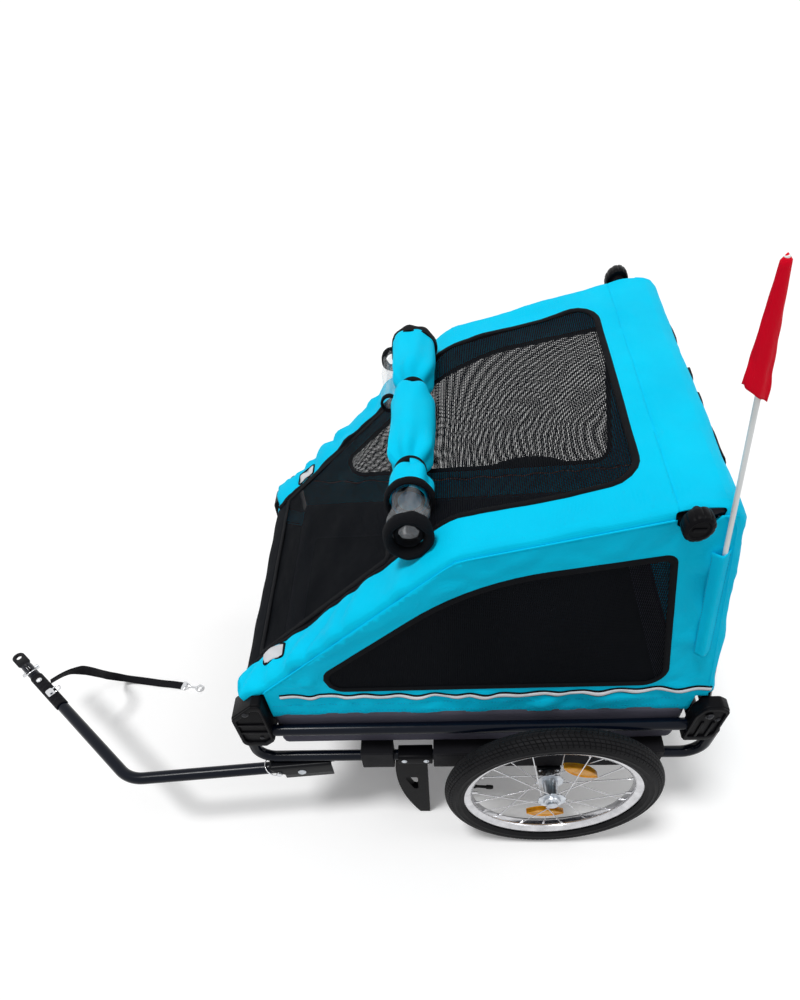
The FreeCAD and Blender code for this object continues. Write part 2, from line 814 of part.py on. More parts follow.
def make_sleeve(name, side, nose, tail):
    """A loop of the tub's cloth round the runner."""
    y_span = span(side, S.rail_half_span - S.sleeve_half, S.rail_half_span + S.sleeve_half)
    z_span = (S.sleeve_bottom_height, S.tub_bottom_height)
    body = block(f"{name}_body", (AXLE - nose, AXLE + tail), y_span, z_span)
    bore = rod(f"{name}_bore", "X", SOCKET_RADIUS,
               (AXLE - nose - S.overrun, side * S.rail_half_span, S.runner_height),
               nose + tail + 2 * S.overrun)
    return cut(f"{name}_loop", body, bore)


def make_receiver(name, side):
    """The block under the runner that takes the stub axle."""
    y_span = span(side, S.rail_half_span - S.receiver_half, S.rail_half_span + S.receiver_half)
    body = block(f"receiver_{name}_body", (AXLE - S.receiver_half_length, AXLE + S.receiver_half_length),
                 y_span, (S.receiver_bottom_height, S.sleeve_bottom_height))
    y_low, y_high = y_span
    bore = rod(f"receiver_{name}_bore", "Y", S.axle_radius + S.bolt_gap,
               (AXLE, y_low - S.overrun, S.tyre_radius), y_high - y_low + 2 * S.overrun)
    return cut(f"receiver_{name}_block", body, bore)


def make_foot(name, side):
    """A fin shaped parking foot clamped on the runner, with a window through the fin."""
    y_middle = side * S.rail_half_span.value
    low = y_middle - S.foot_fin_half.value
    high = y_middle + S.foot_fin_half.value
    top = S.runner_height - 0.5 * S.foot_clamp_depth
    nose_top = vector(-S.foot_fin_nose_reach, ZERO, top)
    belly = vector(-S.foot_belly_reach, ZERO, S.foot_belly_height)
    tip_nose = vector(-S.foot_tip_nose_reach, ZERO, ZERO)
    tip_tail = vector(-S.foot_fin_tail_reach, ZERO, ZERO)
    tail_top = vector(-S.foot_fin_tail_reach, ZERO, top)
    edge = Part.Wire([
        Part.Arc(nose_top, belly, tip_nose).toShape(),
        Part.LineSegment(tip_nose, tip_tail).toShape(),
        Part.LineSegment(tip_tail, tail_top).toShape(),
        Part.LineSegment(tail_top, nose_top).toShape(),
    ])
    fin = Part.Face(edge).extrude(Vector(0, high - low, 0))
    fin.translate(Vector(0, low, 0))
    window = prism(
        [
            vector(-S.foot_window_nose_reach, ZERO, S.foot_window_high_height),
            vector(-S.foot_window_tail_reach, ZERO, S.foot_window_high_height),
            vector(-S.foot_window_tail_reach, ZERO, S.foot_window_low_height),
        ],
        low - S.overrun.value,
        high + S.overrun.value,
    )
    clamp_low = vector(-S.foot_nose_reach, side * S.rail_half_span - S.foot_clamp_half, top)
    clamp = Part.makeBox((S.foot_nose_reach - S.foot_tail_reach).value, 2 * S.foot_clamp_half.value,
                         S.foot_clamp_depth.value, clamp_low)
    bore_start = vector(-S.foot_nose_reach - S.overrun, side * S.rail_half_span, S.runner_height)
    bore_end = vector(S.overrun - S.foot_tail_reach, side * S.rail_half_span, S.runner_height)
    bore = bar_between(bore_start, bore_end, SOCKET_RADIUS.value)
    return solid(f"foot_{name}_fin", fin.cut(window).fuse(clamp).removeSplitter().cut(bore))


node("floor_tub", make_tub())
node("floor_board", make_floor())
node("front_sleeves", group("front_sleeves_group", *[
    make_sleeve(f"front_sleeve_{name}", side, S.front_sleeve_nose_reach, -S.front_sleeve_tail_reach)
    for name, side in SIDES.items()
]))
node("axle_receivers", group("axle_receivers_group", *[
    make_receiver(name, side) for name, side in SIDES.items()
]))
for name, side in SIDES.items():
    guard = make_sleeve(f"wheel_guard_{name}", side, S.guard_nose_reach, S.guard_tail_reach)
    node(f"wheel_guard_{name}", guard)
    node(f"parking_foot_{name}", make_foot(name, side))


# Drawbar, its channel and the coupler

BAR_PIVOT = vector(-S.pivot_reach, -S.pivot_offset, S.bar_height)
BAR_ELBOW = vector(-S.elbow_reach, -S.elbow_offset, S.bar_height)
BAR_TIP = vector(-S.tip_reach, -S.tip_offset, S.bar_height)
REAR_WAY = (BAR_ELBOW - BAR_PIVOT).normalize()
FRONT_WAY = (BAR_TIP - BAR_ELBOW).normalize()


def leftward(way):
    """The level direction across a run that points to the trailer's left."""
    return Vector(-way.y, way.x, 0)


def local_block(origin, way, along_span, across_span, z_span):
    """A box laid along a level direction, spans measured from origin along it and to its left."""
    across = leftward(way)
    corners = []
    for along, side in ((0, 0), (1, 0), (1, 1), (0, 1)):
        point = origin + way * along_span[along] + across * across_span[side]
        corners.append(Vector(point.x, point.y, z_span[0]))
    face = Part.Face(Part.makePolygon(corners + corners[:1]))
    return face.extrude(Vector(0, 0, z_span[1] - z_span[0]))


def cross_bar(origin, way, along, half, radius):
    """A level round bar across a run, half to each side."""
    middle = origin + way * along
    return bar_between(middle - leftward(way) * half, middle + leftward(way) * half, radius)


def make_channel():
    """The folded steel channel under the left runner that carries the drawbar's pivot."""
    inner = (S.bar_radius + S.channel_gap).value
    outer = inner + S.channel_wall.value
    top = (S.runner_height - S.tube_radius).value
    spans = (-S.channel_tail_reach.value, S.channel_nose_reach.value)
    body = local_block(BAR_PIVOT, REAR_WAY, spans, (-outer, outer), (S.channel_skirt_height.value, top))
    over = S.overrun.value
    hollow = local_block(BAR_PIVOT, REAR_WAY, (spans[0] - over, spans[1] + over), (-inner, inner),
                         (S.channel_skirt_height.value - over, top - S.channel_wall.value))
    notch_span = (S.channel_skirt_height.value - over, S.channel_notch_height.value)
    notch = local_block(BAR_PIVOT, REAR_WAY, (spans[1] - S.channel_notch_length.value, spans[1] + over),
                        (-outer - over, outer + over), notch_span)
    bolt = cross_bar(BAR_PIVOT, REAR_WAY, 0, outer + over, (S.bolt_radius + S.bolt_gap).value)
    return solid("channel_plate", body.cut(hollow).cut(notch).cut(bolt))


def make_drawbar_bolt():
    """The bolt that the drawbar folds on."""
    outer = (S.bar_radius + S.channel_gap + S.channel_wall).value
    shank = cross_bar(BAR_PIVOT, REAR_WAY, 0, outer, S.bolt_radius.value)
    left = leftward(REAR_WAY)
    heads = []
    for way in (-1, 1):
        seat = BAR_PIVOT + left * (way * outer)
        crest = seat + left * (way * S.bolt_head_height.value)
        heads.append(bar_between(seat, crest, S.bolt_head_radius.value))
    return solid("drawbar_bolt_solid", shank.fuse(heads).removeSplitter())


def make_drawbar():
    """The bent drawbar tube, slotted at its tip for the coupler's tongue."""
    points = [BAR_PIVOT - REAR_WAY * S.bar_tail_length.value, BAR_ELBOW, BAR_TIP]
    tube = bent_tube(points, [S.bar_bend_radius.value], S.bar_radius.value, S.bar_wall.value)
    over = S.overrun.value
    pivot_hole = cross_bar(BAR_PIVOT, REAR_WAY, 0, 2 * S.bar_radius.value, (S.bolt_radius + S.pin_fit).value)
    lock_hole = cross_bar(BAR_PIVOT, REAR_WAY, S.lock_pin_reach.value, 2 * S.bar_radius.value,
                          (S.pin_radius + S.pin_fit).value)
    pin_hole = cross_bar(BAR_TIP, -FRONT_WAY, S.coupler_pin_inset.value, 2 * S.bar_radius.value,
                         (S.pin_radius + S.pin_fit).value)
    half = (S.tongue_half + S.slot_gap).value
    z_span = (S.bar_height.value - 2 * S.bar_radius.value, S.bar_height.value + 2 * S.bar_radius.value)
    slot = local_block(BAR_TIP, -FRONT_WAY, (-over, S.slot_depth.value), (-half, half), z_span)
    return solid("drawbar_tube_solid", tube.cut(pivot_hole).cut(lock_hole).cut(pin_hole).cut(slot))


def make_ring_pin(name, origin, way, along):
    """A cross pin with a head and the half ring of wire that snaps over the tube."""
    half = (S.bar_radius + S.pin_overhang).value
    pin = cross_bar(origin, way, along, half, S.pin_radius.value)
    centre = origin + way * along
    left = leftward(way)
    wire_radius = half - S.ring_wire_radius.value
    start = centre + left * wire_radius
    end = centre - left * wire_radius
    crest = centre + Vector(0, 0, (S.bar_radius + S.ring_gap + S.ring_wire_radius).value)
    arc = Part.Wire([Part.Arc(start, crest, end).toShape()])
    return solid(name, pin.fuse(swept(arc, S.ring_wire_radius.value)).removeSplitter())


def make_coupler():
    """The coupler: an upright tongue in the drawbar's slot and a level plate with the hitch eye."""
    over = S.overrun.value
    height = S.bar_height.value
    tongue_half = S.tongue_half.value
    rise = S.tongue_height.value / 2
    tongue_end = S.plate_start_length.value + S.overrun.value
    tongue = local_block(BAR_TIP, FRONT_WAY, (-S.coupler_pin_inset.value, tongue_end),
                         (-tongue_half, tongue_half), (height - rise, height + rise))
    heel = cross_bar(BAR_TIP, -FRONT_WAY, S.coupler_pin_inset.value, tongue_half, rise)
    half_plate = S.coupler_wall.value / 2
    reach = S.coupler_reach.value
    wide = S.coupler_round_radius.value
    plate = local_block(BAR_TIP, FRONT_WAY, (S.plate_start_length.value, reach), (-wide, wide),
                        (height - half_plate, height + half_plate))
    eye_centre = BAR_TIP + FRONT_WAY * reach
    base = Vector(eye_centre.x, eye_centre.y, height - half_plate)
    nose = Part.makeCylinder(wide, S.coupler_wall.value, base)
    eye = Part.makeCylinder(S.eye_radius.value, S.coupler_wall.value + 2 * over, base - Vector(0, 0, over))
    pin_hole = cross_bar(BAR_TIP, -FRONT_WAY, S.coupler_pin_inset.value, 2 * S.bar_radius.value,
                         (S.pin_radius + S.pin_fit).value)
    mass = tongue.fuse([heel, plate, nose]).removeSplitter()
    return solid("coupler_solid", mass.cut(eye).cut(pin_hole))


node("drawbar_channel", make_channel())
node("frame_bolts", group("frame_bolts_group", *make_frame_bolts(), make_drawbar_bolt()))
node("drawbar_tube", make_drawbar())
node("drawbar_lock_pin", make_ring_pin("lock_pin_solid", BAR_PIVOT, REAR_WAY, S.lock_pin_reach.value))
node("coupler_pin", make_ring_pin("coupler_pin_solid", BAR_TIP, -FRONT_WAY, S.coupler_pin_inset.value))
node("hitch_coupler", make_coupler())


# Safety strap

# The strap's route from the anchor down to the ground, measured from the axle
STRAP_ROUTE = [
    (-1098.5, -77.0, 203.0),
    (-1078.0, -48.0, 198.0),
    (-1064.0, -14.0, 168.0),
    (-1062.0, 20.0, 112.0),
    (-1069.0, 51.0, 62.0),
    (-1064.0, 71.0, 30.0),
    (-1034.0, 80.0, 9.0),
    (-994.0, 76.0, 6.4),
    (-950.0, 67.0, 6.4),
    (-916.0, 63.0, 6.4),
    (-882.0, 56.0, 6.4),
]


def rounded_wire(points):
    """A soft route: at each point the arc is as large as its two runs allow."""
    bends = []
    for before, corner, after in zip(points, points[1:], points[2:]):
        half_turn = (corner - before).getAngle(after - corner) / 2
        shorter = min((corner - before).Length, (after - corner).Length)
        bends.append(ARC_RUN_SHARE * shorter / math.tan(half_turn))
    print("strap bend radii", [round(bend) for bend in bends])
    return bent_wire(points, bends)


def sleeve_on_bar(inset, half, wall):
    """A sleeve round the drawbar's front leg."""
    inner = (S.bar_radius + S.anchor_gap).value
    middle = BAR_TIP - FRONT_WAY * inset
    start = middle - FRONT_WAY * half
    end = middle + FRONT_WAY * half
    return bar_between(start, end, inner + wall).cut(bar_between(start, end, inner))


def make_strap():
    """The free strap, drawn as a plain cord along its route."""
    points = [Vector(AXLE.value + x, y, z) for x, y, z in STRAP_ROUTE]
    path = rounded_wire(points)
    cord = swept(path, S.strap_radius.value)
    expected = math.pi * S.strap_radius.value ** 2 * path.Length
    print("strap length", round(path.Length, 1), "volume ratio", round(cord.Volume / expected, 4))
    return solid("strap_cord", cord)


def make_snap_hook():
    """The snap hook on the strap's end: a swivel eye, a shank and an open hook."""
    end = Vector(*STRAP_ROUTE[-1]) + Vector(AXLE.value, 0, 0)
    before = Vector(*STRAP_ROUTE[-2]) + Vector(AXLE.value, 0, 0)
    way = (end - before).normalize()
    side = Vector(-way.y, way.x, 0)
    start = end + way * S.strap_gap.value
    swivel = bar_between(start, start + way * S.hook_shank_length.value, S.hook_swivel_radius.value)
    centre = start + way * (S.hook_shank_length + S.hook_ring_radius).value
    first = centre - way * S.hook_ring_radius.value
    far = centre + way * S.hook_ring_radius.value
    last = centre + side * S.hook_ring_radius.value
    turn = Part.Wire([
        Part.Arc(first, centre - side * S.hook_ring_radius.value, far).toShape(),
        Part.Arc(far, centre + (way + side).normalize() * S.hook_ring_radius.value, last).toShape(),
    ])
    return solid("snap_hook_solid", swivel.fuse(swept(turn, S.hook_wire_radius.value)).removeSplitter())


node("strap_anchor", solid("strap_anchor_band", sleeve_on_bar(S.anchor_inset.value, S.anchor_half.value,
                                                              S.anchor_wall.value)))
node("strap_clip", solid("strap_clip_band", sleeve_on_bar(S.clip_inset.value, S.clip_half.value,
                                                          S.anchor_wall.value)))
node("safety_strap", make_strap())
node("snap_hook", make_snap_hook())


# Folding cabin frame

def boss(point, y_middle):
    """A cross bored end boss, solid across the tube."""
    start = Vector(point.x, y_middle - S.boss_half.value, point.z)
    end = Vector(point.x, y_middle + S.boss_half.value, point.z)
    return bar_between(start, end, S.boss_radius.value)


def bore_through(point, y_middle, radius):
    """A bore across a boss."""
    reach = S.boss_half.value + S.overrun.value
    start = Vector(point.x, y_middle - reach, point.z)
    end = Vector(point.x, y_middle + reach, point.z)
    return bar_between(start, end, radius)


def at_side(point, y_middle):
    """A profile point moved to one side."""
    return Vector(point.x, y_middle, point.z)


def bossed_tubes(runs, bend, *bars):
    """Bent tubes with a solid boss on each end, joined by cross bars."""
    mass = list(bars)
    hollows = []
    for first, corner, last in runs:
        mass.append(swept(bent_wire([first, corner, last], [bend]), S.hoop_tube_radius.value))
        mass += [boss(first, first.y), boss(last, last.y)]
        inset = S.boss_radius.value
        first_in = first + (corner - first).normalize() * inset
        last_in = last + (corner - last).normalize() * inset
        hollow_path = bent_wire([first_in, corner, last_in], [bend])
        hollows.append(swept(hollow_path, (S.hoop_tube_radius - S.hoop_tube_wall).value))
    return mass[0].fuse(mass[1:]).cut(Part.makeCompound(hollows))


def make_arm(name, side):
    """One front arm: up the front slope, over the kink and along the roof to the knob."""
    y = side * S.arm_half_span.value
    run = [at_side(point, y) for point in (profile.nose, profile.kink, profile.knob)]
    pivot = bore_through(profile.nose, y, (S.bolt_radius + S.pin_fit).value)
    return solid(f"front_arm_{name}_tube", bossed_tubes([run], S.arm_bend_radius.value).cut(pivot))


def make_rear_hoop():
    """The rear hoop: two bent uprights and the low crossbar welded between them."""
    runs = []
    bores = []
    for side in SIDES.values():
        y = side * S.hoop_half_span.value
        runs.append([at_side(point, y) for point in (profile.tail, profile.crown, profile.knob)])
        bores.append(bore_through(profile.tail, y, (S.bolt_radius + S.pin_fit).value))
        bores.append(bore_through(profile.knob, y, (S.stud_radius + S.pin_fit).value))
    reach = (S.hoop_half_span + S.crossbar_grip_depth).value
    place = profile.tail - profile.back * S.crossbar_station_length.value
    bar = bar_between(at_side(place, -reach), at_side(place, reach), S.crossbar_radius.value)
    tubes = bossed_tubes(runs, S.hoop_bend_radius.value, bar)
    return solid("rear_hoop_tube", tubes.cut(Part.makeCompound(bores)))


def make_knob(name, side):
    """A lobed hand knob with its clamp stud."""
    face = (S.hoop_half_span + S.boss_half + S.hinge_gap).value
    collar_end = face + S.knob_collar_height.value
    head_end = collar_end + S.knob_height_out.value
    stud_end = (S.arm_half_span + S.boss_half + S.hinge_gap).value

    def disc(start, end, radius, across=0.0, up=0.0):
        x = profile.knob.x + across
        z = profile.knob.z + up
        return bar_between(Vector(x, side * start, z), Vector(x, side * end, z), radius)

    head = disc(collar_end, head_end, S.knob_radius.value)
    for index in range(KNOB_LOBES):
        angle = 2 * math.pi * index / KNOB_LOBES
        orbit = S.knob_radius.value + S.knob_lobe_radius.value / 2
        groove = disc(collar_end - S.overrun.value, head_end + S.overrun.value, S.knob_lobe_radius.value,
                      orbit * math.cos(angle), orbit * math.sin(angle))
        head = head.cut(groove)
    collar = disc(face, collar_end, S.knob_collar_radius.value)
    stud = disc(stud_end, face, S.stud_radius.value)
    return solid(f"knob_{name}_solid", head.fuse([collar, stud]).removeSplitter())


node("rear_hoop", make_rear_hoop())
for name, side in SIDES.items():
    node(f"front_arm_{name}", make_arm(name, side))
    node(f"lock_knob_{name}", make_knob(name, side))


# Cabin cloth

IN = CLOTH_IN.value
OUT = CLOTH_OUT.value


def strip(low_points, high_points, y_low, y_high):
    """A bent sheet between two offset outlines."""
    return prism(low_points + high_points[::-1], y_low, y_high)


def roof_corners(offset):
    """The roof cloth's outline from its front hem to its rear edge."""
    kink = profile.corners(offset)[0]
    rear = profile.at_place(1, offset, (AXLE + S.roof_end_reach).value)
    return [profile.on_slope(S.roof_start_length.value, offset), kink, rear]


def slope_block(along, across, over=0.0):
    """A block of the front slope between two stations, as thick as the cloth and over."""
    first, last = along
    low = IN - over
    high = OUT + over
    points = [profile.on_slope(first, low), profile.on_slope(last, low),
              profile.on_slope(last, high), profile.on_slope(first, high)]
    return prism(points, *across)


def roof_block(along, across, over=0.0):
    """A block of the roof between two places, as thick as the cloth and over."""
    nose, tail = along
    low = IN - over
    high = OUT + over
    points = [profile.at_place(1, low, nose), profile.at_place(1, low, tail),
              profile.at_place(1, high, tail), profile.at_place(1, high, nose)]
    return prism(points, *across)


def roof_mesh_span():
    """The two ends of the roof's mesh."""
    return AXLE.value - S.roof_mesh_nose_reach.value, AXLE.value + S.roof_mesh_tail_reach.value


def cells(span, count):
    """The openings of a net along one side, with a rib between each two."""
    start, end = span
    rib = S.mesh_rib_width.value
    pitch = (end - start + rib) / count
    return [(start + pitch * index, start + pitch * (index + 1) - rib) for index in range(count)]


def netted(block, along, half, counts):
    """A flat net inside its border, from the block that one opening is cut with."""
    border = S.mesh_border_width.value
    first, last = along
    columns = cells((first + border, last - border), counts[0])
    rows = cells((border - half, half - border), counts[1])
    openings = [block(column, row, S.overrun.value) for column in columns for row in rows]
    return block(along, (-half, half)).cut(Part.makeCompound(openings))


def make_roof_panel():
    """The front and roof cloth with the door opening and the roof window."""
    half = S.roof_half.value
    sheet_solid = strip(roof_corners(IN), roof_corners(OUT), -half, half)
    span = (-S.door_half.value, S.door_half.value)
    door_hole = slope_block((S.door_start_length.value, S.door_end_length.value), span)
    window = roof_block(roof_mesh_span(), span)
    return solid("roof_panel_sheet", sheet_solid.cut(door_hole).cut(window))


def make_door():
    """The front net door, a flap that lifts about its upper edge."""
    gap = S.cloth_gap.value
    first = S.door_start_length.value + gap
    last = (S.door_end_length - S.door_hinge_gap).value
    flap = netted(slope_block, (first, last), S.door_half.value - gap, DOOR_CELLS)
    return solid("front_door_flap", flap)


def window_points(border=0.0):
    """The side window's outline, set in from the cabin's outline, and further in by a border."""
    slope_line = profile.lines(-S.window_front_inset.value - border + OUT)[0]
    roof_line = profile.lines(-S.window_top_inset.value - border + OUT)[1]
    back_line = profile.lines(-S.window_rear_inset.value - border + OUT)[3]
    sill_height = (S.front_pivot_height + S.window_sill_rise).value + border
    sill_line = (Vector(0, 0, sill_height), Vector(1, 0, 0))
    return [meeting(sill_line, slope_line), meeting(slope_line, roof_line),
            meeting(roof_line, back_line), meeting(back_line, sill_line)]


def make_side_panel(name, side):
    """One side wall with its window, and the hem that turns over the roof's edge."""
    inner = (S.hoop_half_span + S.boss_half + S.cloth_gap).value
    outer = inner + S.cloth_wall.value
    kink, knob, crown = profile.corners(OUT)
    skirt = S.skirt_height.value
    nose_height = (S.front_pivot_height + S.side_nose_rise).value
    tail_height = (S.rear_pivot_height + S.side_tail_rise).value
    wall_points = [
        Vector(TUB_NOSE.value, 0, skirt),
        Vector(TUB_NOSE.value, 0, nose_height),
        profile.at_height(0, OUT, nose_height),
        kink, knob, crown,
        profile.at_height(3, OUT, tail_height),
        Vector(TUB_TAIL.value, 0, tail_height),
        Vector(TUB_TAIL.value, 0, skirt),
    ]
    wall = prism(wall_points, *sorted((side * inner, side * outer)))
    over = S.overrun.value
    window = prism(window_points(), *sorted((side * (inner - over), side * (outer + over))))
    hem_inner = S.roof_half.value + S.cloth_gap.value
    hem_end = (AXLE + S.roof_end_reach).value
    low = [profile.at_height(0, IN, nose_height), profile.corners(IN)[0], profile.at_place(1, IN, hem_end)]
    high = [profile.at_height(0, OUT, nose_height), kink, profile.at_place(1, OUT, hem_end)]
    hem = strip(low, high, *sorted((side * hem_inner, side * outer)))
    knob_hole = bar_between(Vector(profile.knob.x, side * (inner - over), profile.knob.z),
                            Vector(profile.knob.x, side * (outer + over), profile.knob.z),
                            S.knob_window_radius.value)
    return solid(f"side_panel_{name}_sheet", wall.cut(window).fuse(hem).removeSplitter().cut(knob_hole))


def make_side_mesh(name, side):
    """The net in one side window, with the cells that its border leaves too small kept closed."""
    inner = (S.hoop_half_span + S.boss_half + S.cloth_gap).value
    middle = inner + S.cloth_wall.value / 2
    half = S.mesh_wall.value / 2
    across = sorted((side * (middle - half), side * (middle + half)))
    field = window_points(S.mesh_border_width.value)
    field_solid = prism(field, *across)
    columns = cells((min(point.x for point in field), max(point.x for point in field)), WINDOW_CELLS[0])
    rows = cells((min(point.z for point in field), max(point.z for point in field)), WINDOW_CELLS[1])
    openings = []
    for first, last in columns:
        for low, high in rows:
            corners = [(first, low), (last, low), (last, high), (first, high)]
            cell = prism([Vector(x, 0, z) for x, z in corners], *across)
            opening = cell.common(field_solid)
            if opening.Volume > WINDOW_CELL_SHARE * cell.Volume:
                openings.append(opening)
    net = prism(window_points(), *across).cut(Part.makeCompound(openings))
    return solid(f"side_mesh_{name}_sheet", net)


def make_rear_panel():
    """The rear cloth: a short roof strip, the crown and the rear wall."""
    half = (S.hoop_half_span + S.boss_half - S.cloth_gap).value
    nose = (AXLE + S.roof_end_reach + S.overrun).value

    foot = (S.rear_pivot_height + S.rear_panel_rise).value

    def line(offset):
        crown = profile.corners(offset)[-1]
        start = Vector(nose, 0, crown.z)
        return [start, crown, profile.at_height(3, offset, foot)]

    return solid("rear_panel_sheet", strip(line(IN), line(OUT), -half, half))


def make_roll():
    """The rolled rain cover tied above the door, drawn in at its two bands."""
    centre = profile.on_slope(S.roll_station_length.value, OUT + S.cloth_gap.value + S.roll_radius.value)
    left_end = -S.roll_left_reach.value
    right_end = S.roll_right_reach.value
    band = S.roll_band_half.value
    full = S.roll_radius.value
    waist = S.roll_waist_radius.value
    steps = [(left_end, full)]
    for place in (-S.roll_left_band_reach.value, S.roll_right_band_reach.value):
        steps += [(place - band, full), (place, waist), (place + band, full)]
    steps.append((right_end, full))
    points = [Vector(centre.x, y, centre.z + radius) for y, radius in steps]
    ends = [Vector(centre.x, right_end, centre.z), Vector(centre.x, left_end, centre.z)]
    face = Part.Face(Part.makePolygon(points + ends + points[:1]))
    return solid("rain_cover_roll_solid", face.revolve(centre, Vector(0, 1, 0), 360))


def make_front_tabs():
    """The two reflective tabs beside the door."""
    tabs = []
    low = OUT
    high = OUT + S.tab_wall.value
    first = S.tab_station_length.value - S.tab_length.value / 2
    last = S.tab_station_length.value + S.tab_length.value / 2
    points = [profile.on_slope(first, low), profile.on_slope(last, low),
              profile.on_slope(last, high), profile.on_slope(first, high)]
    for side in SIDES.values():
        middle = side * S.tab_offset.value
        half = S.tab_width.value / 2
        tabs.append(prism(points, middle - half, middle + half))
    return solid("front_tabs_group", Part.makeCompound(tabs))


node("roof_panel", make_roof_panel())
roof_net = netted(roof_block, roof_mesh_span(), S.door_half.value, ROOF_CELLS)
node("roof_mesh", solid("roof_mesh_sheet", roof_net))
node("front_door", make_door())
node("rear_panel", make_rear_panel())
node("rain_cover_roll", make_roll())
node("front_tabs", make_front_tabs())
node("side_meshes", group("side_meshes_group", *[make_side_mesh(name, side) for name, side in SIDES.items()]))
for name, side in SIDES.items():
    node(f"side_panel_{name}", make_side_panel(name, side))


# Flag

POLE_SIDE = -(S.hoop_half_span + S.boss_half + S.cloth_gap + S.cloth_wall + S.cloth_gap
              + S.pocket_wall + S.pocket_gap + S.pole_radius)
POLE_LEAN = math.radians(POLE_LEAN_DEG)
POLE_WAY = Vector(-math.sin(POLE_LEAN), 0, math.cos(POLE_LEAN))
POLE_ACROSS = Vector(POLE_WAY.z, 0, -POLE_WAY.x)
# The pole passes behind the knob, and its foot stands in the pocket below
POLE_BESIDE_KNOB = vector(S.knob_place + S.pole_knob_distance, POLE_SIDE, S.knob_height)
POLE_FOOT = POLE_BESIDE_KNOB - POLE_WAY * (S.pole_foot_depth.value / POLE_WAY.z)
POLE_TOP = POLE_FOOT + POLE_WAY * S.pole_length.value


def make_pocket():
    """The stitched pocket that the flag's pole stands in, closed at its foot."""
    half_depth = (S.pole_radius + S.pocket_gap + S.pocket_wall).value
    half_width = S.pocket_width.value / 2
    foot = POLE_FOOT - POLE_WAY * (S.pocket_wall + S.pocket_gap).value
    corners = []
    for across, depth in ((-1, -1), (1, -1), (1, 1), (-1, 1)):
        corners.append(foot + POLE_ACROSS * (across * half_width) + Vector(0, depth * half_depth, 0))
    face = Part.Face(Part.makePolygon(corners + corners[:1]))
    body = face.extrude(POLE_WAY * S.pocket_length.value)
    start = POLE_FOOT - POLE_WAY * S.pocket_gap.value
    bore = bar_between(start, start + POLE_WAY * S.pocket_length.value, (S.pole_radius + S.pocket_gap).value)
    return solid("flag_pocket_strip", body.cut(bore))


def make_flag():
    """The limp pennant: a sleeve on the pole and one slack fold of cloth."""
    sleeve_inner = (S.pole_radius + S.socket_gap).value
    wall = S.flag_wall.value
    low = POLE_TOP - POLE_WAY * S.flag_drop_length.value
    sleeve = bar_between(low, POLE_TOP, sleeve_inner + wall)
    depth = S.flag_depth.value
    fold = S.flag_fold_depth.value
    line = [(-across * depth, out * fold) for across, out in FLAG_FOLD_SHARES]
    front = [low + POLE_ACROSS * across + Vector(0, out - wall / 2, 0) for across, out in line]
    back = [low + POLE_ACROSS * across + Vector(0, out + wall / 2, 0) for across, out in line]
    loop = front + back[::-1]
    cloth = Part.Face(Part.makePolygon(loop + loop[:1])).extrude(POLE_WAY * S.flag_drop_length.value)
    bore = bar_between(low - POLE_WAY * S.overrun.value, POLE_TOP + POLE_WAY * S.overrun.value, sleeve_inner)
    return solid("flag_cloth_fold", sleeve.fuse(cloth).removeSplitter().cut(bore))


node("flag_pocket", make_pocket())
node("flag_pole", solid("flag_pole_rod", bar_between(POLE_FOOT, POLE_TOP, S.pole_radius.value)))
node("flag_cloth", make_flag())


# Check every object, then write the sub-parts

doc.recompute()
for item in doc.Objects:
    if "Invalid" in item.State or "Error" in item.State:
        raise RuntimeError(f"{item.Label} failed: {item.State}")
for name, item in nodes.items():
    if item.Shape.isNull() or not item.Shape.isValid() or not item.Shape.Solids:
        raise RuntimeError(f"{name} has no valid solid")
os.makedirs("parts", exist_ok=True)
for name, item in nodes.items():
    item.Shape.exportStep(f"parts/{name}.step")
print(len(nodes), "sub-parts written")
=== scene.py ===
"""Dresses the dog bike trailer: every piece that shows, its finish, the light and the camera."""
from __future__ import annotations

import json
import logging
from dataclasses import dataclass
from enum import Enum, auto
from math import atan2, copysign, cos, dist, exp, hypot, pi, radians, sin, tan
from typing import Callable, ClassVar, Iterable, Sequence, Union

import bmesh
import bpy
from bmesh.types import BMesh
from bpy.types import Material, Mesh, Node, NodeSocket, Object, World
from mathutils import Matrix, Vector, noise


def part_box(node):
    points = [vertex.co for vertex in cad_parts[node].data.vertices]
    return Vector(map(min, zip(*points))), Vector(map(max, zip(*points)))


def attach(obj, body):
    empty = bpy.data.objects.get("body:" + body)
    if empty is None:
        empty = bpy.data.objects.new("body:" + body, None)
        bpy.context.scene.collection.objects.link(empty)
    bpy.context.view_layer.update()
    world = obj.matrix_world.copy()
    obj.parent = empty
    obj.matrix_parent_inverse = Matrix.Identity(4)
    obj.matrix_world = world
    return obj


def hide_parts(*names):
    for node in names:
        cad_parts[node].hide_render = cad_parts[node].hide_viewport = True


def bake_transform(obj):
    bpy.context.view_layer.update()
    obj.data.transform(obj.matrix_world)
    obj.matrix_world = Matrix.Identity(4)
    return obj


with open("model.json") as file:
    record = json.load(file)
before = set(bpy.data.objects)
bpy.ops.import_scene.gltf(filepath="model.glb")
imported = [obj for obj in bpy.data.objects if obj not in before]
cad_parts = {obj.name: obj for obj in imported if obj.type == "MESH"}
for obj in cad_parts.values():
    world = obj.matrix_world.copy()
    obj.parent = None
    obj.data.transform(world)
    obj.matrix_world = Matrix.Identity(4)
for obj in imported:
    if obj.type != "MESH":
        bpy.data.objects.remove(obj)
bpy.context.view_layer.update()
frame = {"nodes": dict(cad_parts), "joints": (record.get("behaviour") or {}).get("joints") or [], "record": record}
LOG = logging.getLogger("dog_trailer")

